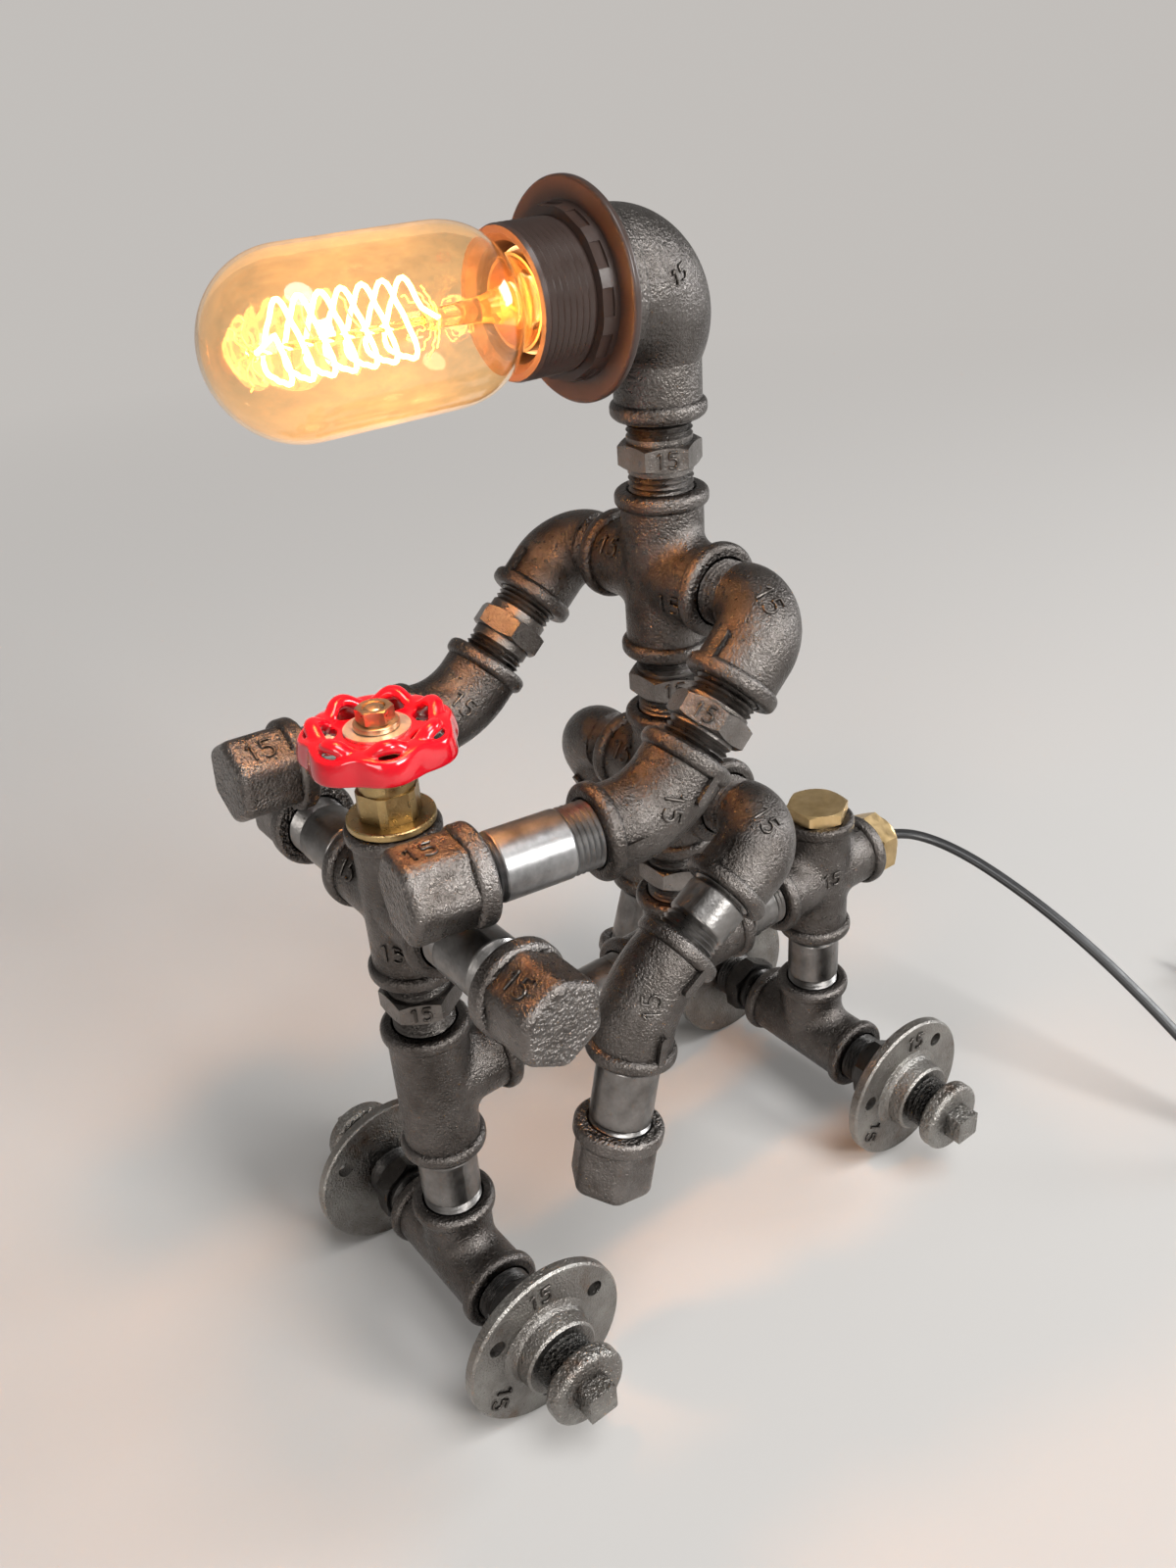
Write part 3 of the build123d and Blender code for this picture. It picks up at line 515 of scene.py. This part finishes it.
limbNames = [name for name in nodes if name.startswith(("left_", "right_"))]
paint(blackIron, "frame_tee", "hip_cross", "chest_cross", "front_tee", "handlebar_cross", "rear_cross",
      "front_axle_tee", "rear_axle_tee", "head_elbow")
paint(blackIron, *[name for name in limbNames if name.endswith("_elbow")])
paint(castMetal("bar_cap_iron", tones["cap"], endFace=(1, 0, 0)), "handlebar_caps")
for side in ("left", "right"):
    for cap, pipe in (("hand_cap", "forearm_pipe"), ("foot_cap", "shin_pipe")):
        toward = middleOf(f"{side}_{cap}") - middleOf(f"{side}_{pipe}")
        paint(castMetal(f"{side}_{cap}_iron", tones["cap"], endFace=toward.normalized()), f"{side}_{cap}")
paint(hexIron, "column_nipples", "left_arm_nipple", "right_arm_nipple")
paint(threadIron, "axle_nipples")
paint(pipeSteel, "post_nipples", "front_frame_pipe", "rear_frame_pipe", "handlebar_pipes",
      *[name for name in limbNames if name.endswith(("_thigh_pipe", "_shin_pipe"))])
paint(brightSteel, "left_forearm_pipe", "right_forearm_pipe")
paint(wheelIron, "wheel_flanges")
paint(plugIron, "axle_plugs")
paint(brass, "rear_plug", "cable_gland", "bulb_cap")
paint(brassCast, "valve_bonnet")
paint(redPaint, "handwheel")
paint(aluminium, "handwheel_disc")
paint(copperBrass, "valve_spindle", "spindle_nut")
paint(holderBrown, "holder_body", "shade_ring", "rotary_switch")
paint(ceramic, "holder_insert")
paint(bulbGlass, "bulb_glass")
paint(stemGlass, "bulb_stem")
paint(filamentGlow, "bulb_filament")
paint(cordBlack, "inner_lead", "switch_lead", "head_lead", "mains_plug")
mainsCord.data.materials.append(cordBlack)


fittings = {
    "plugBack": (149.0, 289.5, 7.2),  # where the cord goes into the plug, which points to -X
    "pinSpread": 9.3,
    "pinRadius": 2.04,
    "pinBare": (67.0, 77.1),  # the metal end of each pin, measured from the plug's back
    "reliefRadius": 3.3,  # at the plug's back, growing by reliefGrowth over reliefLength
    "reliefGrowth": 2.0,
    "reliefLength": 24.0,
    "rings": [3.0, 7.2, 11.4, 15.6, 19.8],
    "ringThick": 0.85,
    "tieAngle": np.radians(150.0),
    "tieWidth": 7.0,
    "tieThick": 0.7,
    "tieBevel": 0.4,
    # the tie's inner outline round the turns, as (distance from the coil's centre, height)
    "tieLoop": [(20.2, 3.0), (22.4, 0.9), (35.8, 0.9), (38.0, 3.0), (38.0, 8.8), (36.2, 13.2),
                (34.0, 14.5), (26.2, 14.5), (23.4, 12.6), (20.2, 8.2)],
}


def closedPiece(name, grids, material):
    # Closed surfaces as one piece on the root body.
    piece = putMesh(name, *joined(grids), "root")
    weld(piece, outward=True)
    piece.data.materials.append(material)
    return piece


def behindPlug(grid, side=0.0):
    # Lathe grid laid along the plug: its height runs to -X from the plug's back.
    x, y, z = fittings["plugBack"]
    return np.stack([x - grid[..., 2], y + side + grid[..., 0], z + grid[..., 1]], axis=-1)


def makePinEnds():
    # Bare metal of the two pins: a turned outline with eased edges and a chamfered tip.
    low, high = fittings["pinBare"]
    radius = fittings["pinRadius"]
    outline = [(0, low), (radius - 0.1, low), (radius, low + 0.1), (radius, high - 1.4),
               (radius - 0.35, high - 0.4), (radius - 0.8, high), (0, high)]
    turns = 32
    grid = lathe(outline, turns)
    faces = gridFaces(len(outline), turns, closeColumns=True)
    pins = [(behindPlug(grid, side), faces) for side in (-fittings["pinSpread"], fittings["pinSpread"])]
    return closedPiece("plug_pin_ends", pins, nickel)


def makeReliefRings():
    # Rings round the strain relief: r = relief + thick cos b, along = place + 1.1 thick sin b.
    sides, turns = 12, 40
    angle = roundAngles(sides)
    faces = gridFaces(sides, turns, closeRows=True, closeColumns=True)
    rings = []
    for place in fittings["rings"]:
        relief = fittings["reliefRadius"] + fittings["reliefGrowth"] * place / fittings["reliefLength"]
        outline = np.stack([relief + fittings["ringThick"] * np.cos(angle),
                            place + 1.1 * fittings["ringThick"] * np.sin(angle)], axis=-1)
        rings.append((behindPlug(lathe(outline, turns)), faces))
    return closedPiece("plug_relief_rings", rings, cordBlack)


def makeCoilTie():
    # Strap: a closed outline, rounded by averaging neighbours and moved out by the thickness, carried
    # across the width.
    corners = np.array(fittings["tieLoop"] + fittings["tieLoop"][:1])
    loop = smoothPath(corners, spacing=0.8, rounds=0)[:-1]
    for _ in range(4):
        loop = 0.25 * np.roll(loop, 1, axis=0) + 0.5 * loop + 0.25 * np.roll(loop, -1, axis=0)
    tangent = unit(np.roll(loop, -1, axis=0) - np.roll(loop, 1, axis=0))
    outside = loop + fittings["tieThick"] * np.stack([tangent[:, 1], -tangent[:, 0]], axis=-1)
    half, bevel, turn = fittings["tieWidth"] / 2, fittings["tieBevel"], fittings["tieAngle"]
    sideways = np.array([-np.sin(turn), np.cos(turn), 0.0])
    columns = [(loop, -half), (outside, bevel - half), (outside, half - bevel), (loop, half)]
    tie = np.stack([around(edge[:, 0], turn, edge[:, 1], (*cord["coilCentre"], 0.0)) + shift * sideways
                    for edge, shift in columns], axis=1)
    faces = gridFaces(len(loop), len(columns), closeRows=True, closeColumns=True)
    return closedPiece("coil_tie", [(tie, faces)], strapBlack)


cordFittings = [makePinEnds(), makeReliefRings(), makeCoilTie()]
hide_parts("supply_cord", "cord_coil", "cord_tail")
print("materials given")


wheel = {
    "foot": 242.05,  # height of the skirt's lower edge
    "lobes": 7,
    "firstLobe": np.radians(-20.0),
    "rimRadius": 22.4,
    "lobeReach": 2.0,
    "rimHeight": 7.3,
    "valleyLift": 1.3,
    "archMiddle": 17.0,
    "archReach": 1.5,
    "archTop": 12.1,
    "archRadius": 2.2,
    "archDrop": 3.4,
    "hubHole": 4.6,
    "seatRadius": 9.0,
    "seatFoot": 3.6,
    "seatTop": 7.0,
    "plateRadius": 11.8,
    "spokeReach": 6.4,
    "steps": 280,  # round the wheel
    "voxel": 0.38,
}


def cornersAt(lobe, *corners):
    # (radius, height) corners, each a number or one value for each angle, as one array.
    return np.stack([np.stack([radius + 0 * lobe, height + 0 * lobe], axis=-1) for radius, height in corners],
                    axis=1)


def rimSection(lobe):
    # Skirted rim: flares out to its lower edge; its top leans in to the arches in the valleys.
    edge = wheel["rimRadius"] + wheel["lobeReach"] * lobe**0.8
    inner = edge - (3.6 + 3.0 * (1 - lobe) ** 2)
    top = wheel["rimHeight"] + wheel["valleyLift"] * (1 - lobe) ** 1.5
    return cornersAt(lobe, (edge - 2.4, 0.5), (edge - 0.3, 0.0), (edge, 1.8), (edge - 0.7, top - 2.0),
                     (edge - 1.6, top), (inner + 0.4, top + 0.2), (inner, top - 1.8), (edge - 3.0, 2.4))


def archSection(lobe):
    # Round bar that stands up as an arch at each lobe and dips to the rim in each valley.
    middle = wheel["archMiddle"] + wheel["archReach"] * lobe
    height = wheel["archTop"] - wheel["archRadius"] - wheel["archDrop"] * (1 - lobe) ** 1.3
    angle = roundAngles(8)
    return np.stack([middle[:, None] + 1.1 * wheel["archRadius"] * np.cos(angle),
                     height[:, None] + wheel["archRadius"] * np.sin(angle)], axis=-1)


def plateSection(lobe):
    # Seat for the disc; a spoke reaches out to the rim in each valley.
    hole, seat, foot, top = wheel["hubHole"], wheel["seatRadius"], wheel["seatFoot"], wheel["seatTop"]
    outer = wheel["plateRadius"] + wheel["spokeReach"] * (1 - lobe) ** 2.6
    shoulder = 0.3 * seat + 0.7 * outer
    return cornersAt(lobe, (hole, foot), (hole, top), (seat, top), (shoulder, top + 0.1), (outer, top),
                     (outer, foot + 0.8), (shoulder, foot), (seat, foot))


def ringSurface(sectionAt, centre, spans=5):
    # Ring whose section changes with the angle, as lobe = (1 + cos(n (a - first))) / 2. Its corners are
    # joined by q(t) = (2b + (c - a) t + (2a - 5b + 4c - d) t^2 + (3b - a - 3c + d) t^3) / 2.
    angles = roundAngles(wheel["steps"])
    corners = sectionAt(np.cos(wheel["lobes"] * (angles - wheel["firstLobe"])) * 0.5 + 0.5)
    a, b, c, d = (np.roll(corners, shift, axis=1)[:, :, None] for shift in (1, 0, -1, -2))
    t = np.linspace(0, 1, spans, endpoint=False)[None, None, :, None]
    curve = 0.5 * (2 * b + (c - a) * t + (2 * a - 5 * b + 4 * c - d) * t**2 + (3 * b - a - 3 * c + d) * t**3)
    curve = curve.reshape(len(angles), -1, 2)
    faces = gridFaces(len(angles), curve.shape[1], closeRows=True, closeColumns=True)
    return around(curve[..., 0], angles[:, None], curve[..., 1], centre), faces


def makeHandwheel():
    # Rim, arches and plate fused into one casting.
    centre = (0.0, frontY, wheel["foot"])
    rings = [ringSurface(section, centre) for section in (rimSection, archSection, plateSection)]
    piece = putMesh("handwheel_red", *joined(rings), None)
    fuse = piece.modifiers.new("fuse", "REMESH")
    fuse.mode = "VOXEL"
    fuse.voxel_size = wheel["voxel"] * mm
    fuse.use_smooth_shade = True
    soften = piece.modifiers.new("soften", "SMOOTH")
    soften.factor = 0.6
    soften.iterations = 5
    applyModifiers(piece)
    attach(piece, "handwheel")
    return piece


handwheelRed = makeHandwheel()
handwheelRed.data.materials.clear()
handwheelRed.data.materials.append(redPaint)
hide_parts("handwheel")
print("handwheel made")


bulb = {
    "neckRadius": 12.2,
    "bellyRadius": 23.8,
    # places along the lamp's axis, measured forward from the body column
    "neckFrom": 36.0,
    "neckAt": 50.0,
    "shoulderFrom": 58.5,  # the two inner corners of the shoulder's curve
    "shoulderTo": 57.0,
    "bellyAt": 75.0,
    "tipAt": 140.0,
    "wall": 0.9,
    "filamentRadius": 10.6,
    "filamentFrom": 83.0,
    "filamentTo": 124.0,
    "turns": 7.0,
    "pointsPerTurn": 40,
    "firstAngle": 0.6,
    "wire": 0.68,
    "wireStart": (2.0, 0.5, 76.0),
    "wireEnd": (0.8, 0.0, 127.0),
    "hooks": [(97.0, 3, 11.4, 3.0), (111.0, 3, 11.4, 3.0), (127.5, 6, 9.0, 4.5)],  # place, count, reach, lean
    "hookWire": 0.24,
    "fanWires": 10,
}


def alongLamp(points):
    # (x, y, distance forward) points in the lamp's place: y goes up, and forward is -Y from the body column.
    points = np.asarray(points, float)
    return np.stack([points[..., 0], bodyY - points[..., 2], headZ + points[..., 1]], axis=-1)


def glassOutline(inset):
    # Neck, S-curve shoulder as a cubic curve, straight side and half-round tip, drawn inset from the skin.
    neck, belly = bulb["neckRadius"], bulb["bellyRadius"]
    tipMiddle = bulb["tipAt"] - belly
    t = np.linspace(0, 1, 24)[:, None]
    corners = np.array([(neck, bulb["neckAt"]), (neck + 0.4, bulb["shoulderFrom"]),
                        (belly, bulb["shoulderTo"]), (belly, bulb["bellyAt"])])
    shoulder = ((1 - t) ** 3 * corners[0] + 3 * t * (1 - t) ** 2 * corners[1]
                + 3 * t**2 * (1 - t) * corners[2] + t**3 * corners[3])
    side = np.stack([np.full(8, belly), np.linspace(bulb["bellyAt"], tipMiddle, 9)[1:]], axis=-1)
    angle = np.linspace(0, pi / 2, 26)[1:]
    tip = np.stack([belly * np.cos(angle), tipMiddle + belly * np.sin(angle)], axis=-1)
    outline = np.concatenate([[(neck, bulb["neckFrom"])], shoulder, side, tip])
    slope = unit(np.gradient(outline, axis=0))
    outline = outline - inset * np.stack([slope[:, 1], -slope[:, 0]], axis=-1)
    outline[-1, 0] = 0.0
    outline[0, 1] = bulb["neckFrom"]
    return outline


def makeGlass(turns=96):
    # Inner and outer outline turned about the lamp's axis; each end on the axis becomes one point.
    outline = np.concatenate([glassOutline(bulb["wall"])[::-1], glassOutline(0.0)])
    points = alongLamp(lathe(outline, turns)).reshape(-1, 3)
    faces = gridFaces(len(outline), turns, closeColumns=True)[:, ::-1]
    piece = putMesh("bulb_envelope", points, faces, "head")
    weld(piece)
    return piece


def wireTube(path, radius, across=(0.13, 0.21, 0.97)):
    angle = roundAngles(8)
    section = radius * np.stack([np.cos(angle), np.sin(angle)], axis=-1)
    return cappedTube(tubeAlong(path, section, np.array(across, float)))


def putWires(name, paths, radius):
    return putMesh(name, *joined([wireTube(alongLamp(path), radius) for path in paths]), "head")


def makeFilament():
    # Helix of a three-cornered turn, radius = r (0.85 + 0.17 cos 3a + 0.05 cos 6a), with a lead at each end.
    turn = np.linspace(0, bulb["turns"], int(bulb["turns"] * bulb["pointsPerTurn"]))
    angle = 2 * pi * turn + bulb["firstAngle"]
    corner = 3 * (angle - pi / 2)
    radius = bulb["filamentRadius"] * (0.85 + 0.17 * np.cos(corner) + 0.05 * np.cos(2 * corner))
    place = bulb["filamentFrom"] + (bulb["filamentTo"] - bulb["filamentFrom"]) * turn / bulb["turns"]
    helix = around(radius, angle, place)
    lead = np.linspace(0, 1, 12)[:, None]
    first = helix[0] * lead + np.array(bulb["wireStart"]) * (1 - lead)
    last = helix[-1] * (1 - lead) + np.array(bulb["wireEnd"]) * lead
    return putWires("bulb_spiral", [np.concatenate([first[:-1], helix, last[1:]])], bulb["wire"])


def makeHooks():
    # Thin support wires. Hooks stand out round the helix and in front of it: they lean as sin(pi s) along
    # their reach s, and their tips turn forward. A fan of waved wires spreads out behind.
    paths = []
    reach = np.linspace(0, 1, 14)
    for place, count, radius, lean in bulb["hooks"]:
        for index in range(count):
            out = 0.8 + (radius - 0.8) * reach
            curl = lean * np.sin(pi * reach) * 0.5 + np.where(reach > 0.86, (reach - 0.86) * 14.0, 0.0)
            paths.append(around(out, 2 * pi * index / count + place * 0.11, place + curl))
    for angle in roundAngles(bulb["fanWires"]):
        swing = angle + 0.10 * np.sin(6 * pi * reach)
        paths.append(around(1.5 + 8.0 * reach, swing, bulb["wireStart"][2] + 4.5 * reach**1.5))
    return putWires("bulb_hooks", paths, bulb["hookWire"])


bulbPiece = makeGlass()
bulbPiece.data.materials.append(bulbGlass)
bulbPiece.visible_shadow = False
nodes["bulb_stem"].visible_shadow = False
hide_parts("bulb_glass")
spiral = makeFilament()
spiral.data.materials.append(filamentGlow)
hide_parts("bulb_filament")
hooks = makeHooks()
hooks.data.materials.append(hookGlow)
print("bulb made")


casting = {
    "text": "15",
    # shares of the digits' height: from digit to digit, left of each digit, and half a bar's thickness
    "pitch": 0.72,
    "margin": 0.06,
    "barRadius": 0.085,
    "lift": 0.2,  # from the skin to the middle of a bar
    "dropFrom": 30.0,
    "dropLength": 50.0,
    "strokes": {
        "1": [[(0.06, 0.76), (0.30, 1.0), (0.30, 0.0)]],
        "5": [[(0.60, 1.0), (0.13, 1.0), (0.09, 0.57), (0.30, 0.65), (0.53, 0.56), (0.61, 0.33),
               (0.51, 0.09), (0.27, 0.0), (0.04, 0.11)]],
    },
}
slant, sideways = (0.866, -0.5, 0), (0.5, 0.866, 0.0)  # outward from a nipple's flat, and along it
marks = {
    # body: (node, point behind the mark, outward direction, reading direction, height of the digits)
    "root": [
        ("column_nipples", (0, bodyY, chestZ + 39.15), slant, sideways, 5.0),
        ("column_nipples", (0, frontY, frameZ + 38.4), slant, sideways, 5.0),
        ("column_nipples", (0, bodyY, hipZ + 38.4), slant, sideways, 5.0),
        ("chest_cross", (-17.0, bodyY, chestZ), (0.1, -0.82, 0.57), (1, 0, 0), 6.2),
        ("chest_cross", (4.0, bodyY, chestZ - 7.0), (0.68, -0.72, 0.15), (0.73, 0.68, 0), 6.0),
        ("hip_cross", (-16.0, bodyY, hipZ), (0.1, -0.82, 0.57), (1, 0, 0), 6.2),
        ("handlebar_cross", (-17.0, frontY, hipZ), (0.1, -0.82, 0.57), (1, 0, 0), 6.0),
        ("handlebar_cross", (0.0, frontY, hipZ - 13.0), (0.55, -0.83, 0), (0.83, 0.55, 0), 6.0),
        ("handlebar_caps", (72.5, frontY, hipZ), (0, -0.5, 0.866), (1, 0, 0), 6.6),
        ("rear_cross", (0.0, rearY, frameZ + 4.0), (0.95, -0.3, 0), (0.3, 0.95, 0), 5.6),
        ("wheel_flanges", (50.0, frontY - 1.0, wheelZ + 23.3), (1, 0, 0), (0, 1, 0), 6.4),
        ("wheel_flanges", (50.0, frontY - 20.5, wheelZ - 11.5), (1, 0, 0), (0, -0.5, -0.866), 6.4),
        ("wheel_flanges", (50.0, rearY + 3.0, wheelZ + 23.0), (1, 0, 0), (0, 0.99, -0.13), 6.4),
        ("wheel_flanges", (50.0, rearY - 20.5, wheelZ - 11.5), (1, 0, 0), (0, -0.5, -0.866), 6.4),
    ],
    "head": [("head_elbow", (0, bodyY - 8.0, headZ + 3.0), (1, 0, 0), (0, 0.95, 0.3), 4.2)],
    "left_arm": [
        ("left_shoulder_elbow", (47.0, bodyY - 1.0, chestZ + 1.0), (0.70, -0.50, 0.50), (0.25, 0.3, -0.92),
         6.2),
        ("left_arm_nipple", (51.1, -15.2, 240.35), (0.5, -0.6, 0.627), (0.866, 0.35, -0.36), 4.8),
        ("left_forearm_elbow", (51.1, -36.0, 219.5), (0.86, -0.30, 0.42), (0.0, -0.35, -0.93), 6.2),
        ("left_hand_cap", (41.9, -112.0, 219.0), (0.0, 0.0, 1.0), (0.13, 1, 0), 6.6),
    ],
    "right_arm": [
        ("right_forearm_elbow", (-51.1, -41.0, 218.0), (0.80, -0.35, 0.48), (0.3, 0.5, -0.8), 6.0),
        ("right_hand_cap", (-51.1, -118.0, 220.9), (0.5, 0.0, 0.866), (0, 1, 0), 6.6),
    ],
    "left_leg": [
        ("left_hip_elbow", (46.0, bodyY - 1.0, hipZ + 2.0), (0.70, -0.50, 0.50), (0.25, 0.3, -0.92), 6.0),
        ("left_knee_elbow", (51.1, -47.5, 153.0), (0.90, -0.30, 0.30), (0.0, 0.2, 0.98), 6.0),
    ],
}


def surfaceOf(name):
    # Node's skin in metres, for dropping points onto it.
    mesh, place = nodes[name].data, nodes[name].matrix_world
    corners = [place @ vertex.co for vertex in mesh.vertices]
    return BVHTree.FromPolygons(corners, [tuple(face.vertices) for face in mesh.polygons])


def castMark(skin, point, outward, reading, height):
    # Raised digits: each stroke is dropped onto the skin against the outward direction and becomes a
    # round bar.
    outward = Vector(outward).normalized()
    reading = (Vector(reading) - outward * Vector(reading).dot(outward)).normalized()
    upright = outward.cross(reading)
    bars = []
    for place, digit in enumerate(casting["text"]):
        shift = (place - len(casting["text"]) / 2) * casting["pitch"] + casting["margin"]
        for stroke in casting["strokes"][digit]:
            dropped = []
            for along, above in smoothPath((np.array(stroke) + (shift, -0.5)) * height):
                start = Vector(point) + reading * along + upright * above + outward * casting["dropFrom"]
                hit, normal, _, _ = skin.ray_cast(start * mm, -outward, casting["dropLength"] * mm)
                if hit is not None:
                    dropped.append(hit / mm + normal * casting["lift"])
            if len(dropped) > 3:
                bars.append(wireTube(np.array(dropped), casting["barRadius"] * height, across=outward))
    return bars


def makeMarks():
    skins = {}
    for body, places in marks.items():
        bars = []
        for name, *place in places:
            if name not in skins:
                skins[name] = surfaceOf(name)
            bars += castMark(skins[name], *place)
        piece = putMesh(f"{body}_marks", *joined(bars), body)
        piece.data.materials.append(markIron)


makeMarks()
print("marks made")


studio = {
    "floorHalf": 12.0,
    "floorColor": (0.52, 0.508, 0.495),
    "floorFade": (0.4, 1.8),  # metres over which the floor turns into the backdrop, to the eye alone
    "backColor": (0.54, 0.517, 0.494),
    "skyStrength": 0.22,  # share of the backdrop that lights the lamp
    "mirrored": 0.31,  # share of the backdrop that metal shows
    "lamps": [
        # name, place, size, power, color
        ("keyLamp", (2.3, 0.5, 1.3), 0.9, 60.0, (1.0, 0.985, 0.96)),
        ("rightLamp", (0.9, 2.3, 0.9), 0.8, 36.0, (0.96, 0.98, 1.0)),
        ("frontLamp", (1.5, -2.3, 1.0), 1.0, 22.0, (1.0, 0.96, 0.92)),
    ],
    "aim": (0.0, 0.0, 0.2),
    "sunStrength": 1.7,
    "sunFrom": (0.45, 0.05, 1.0),
    "sunAngle": 0.5,
    "bulbPower": 1.8,
    "bulbColor": (1.0, 0.40, 0.11),
    "bulbSize": 0.012,
}


def makeFloor():
    half = studio["floorHalf"]
    corners = [(-half, -half, 0), (half, -half, 0), (half, half, 0), (-half, half, 0)]
    floor = bpy.data.meshes.new("floor")
    floor.from_pydata(corners, [], [(0, 1, 2, 3)])
    floorPiece = bpy.data.objects.new("floor", floor)
    scene.collection.objects.link(floorPiece)
    material, tree, shader = newMaterial("floor_paper")
    shader.inputs["Base Color"].default_value = (*studio["floorColor"], 1)
    shader.inputs["Roughness"].default_value = 0.85
    backdrop = tree.nodes.new("ShaderNodeEmission")
    backdrop.inputs["Color"].default_value = (*studio["backColor"], 1)
    start, end = studio["floorFade"]
    far = rangeNode(tree, vectorNode(tree, "LENGTH", coordinates(tree)), 0.0, 1.0, start, end)
    seen = tree.nodes.new("ShaderNodeLightPath").outputs["Is Camera Ray"]
    mix = tree.nodes.new("ShaderNodeMixShader")
    tree.links.new(mathNode(tree, "MULTIPLY", far, seen), mix.inputs["Fac"])
    tree.links.new(shader.outputs["BSDF"], mix.inputs[1])
    tree.links.new(backdrop.outputs["Emission"], mix.inputs[2])
    tree.links.new(mix.outputs["Shader"], tree.nodes["Material Output"].inputs["Surface"])
    floor.materials.append(material)


def makeBackdrop():
    # A pale backdrop to the eye and through the glass, a dimmer one in the metal, the dimmest as light.
    world = bpy.data.worlds.new("studio")
    world.use_nodes = True
    tree = world.node_tree
    background = tree.nodes["Background"]
    background.inputs["Color"].default_value = (*studio["backColor"], 1)
    path = tree.nodes.new("ShaderNodeLightPath")
    through = mathNode(tree, "MAXIMUM", path.outputs["Is Camera Ray"], path.outputs["Is Transmission Ray"])
    mirrored = mathNode(tree, "MULTIPLY", path.outputs["Is Glossy Ray"], studio["mirrored"])
    seen = mathNode(tree, "MAXIMUM", through, mirrored)
    strength = rangeNode(tree, seen, studio["skyStrength"], 1.0, start=0.0, end=1.0)
    tree.links.new(strength, background.inputs["Strength"])
    scene.world = world


def putLight(name, kind, power, **settings):
    data = bpy.data.lights.new(name, kind)
    data.energy = power
    for setting, value in settings.items():
        setattr(data, setting, value)
    lamp = bpy.data.objects.new(name, data)
    scene.collection.objects.link(lamp)
    return lamp


def turnedTo(direction):
    return direction.to_track_quat("-Z", "Y").to_euler()


def makeLights():
    for name, place, size, power, color in studio["lamps"]:
        lamp = putLight(name, "AREA", power, size=size, color=color)
        lamp.location = place
        lamp.rotation_euler = turnedTo(Vector(studio["aim"]) - Vector(place))
    sun = putLight("sun", "SUN", studio["sunStrength"], angle=studio["sunAngle"])
    sun.rotation_euler = turnedTo(-Vector(studio["sunFrom"]))
    lamp = putLight("filamentLamp", "POINT", studio["bulbPower"], color=studio["bulbColor"],
                    shadow_soft_size=studio["bulbSize"])
    lamp.location = hotPoint
    lamp.visible_camera = False
    lamp.visible_transmission = False
    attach(lamp, "head")


makeFloor()
makeBackdrop()
makeLights()
scene.view_settings.view_transform = "Standard"
print("studio made")
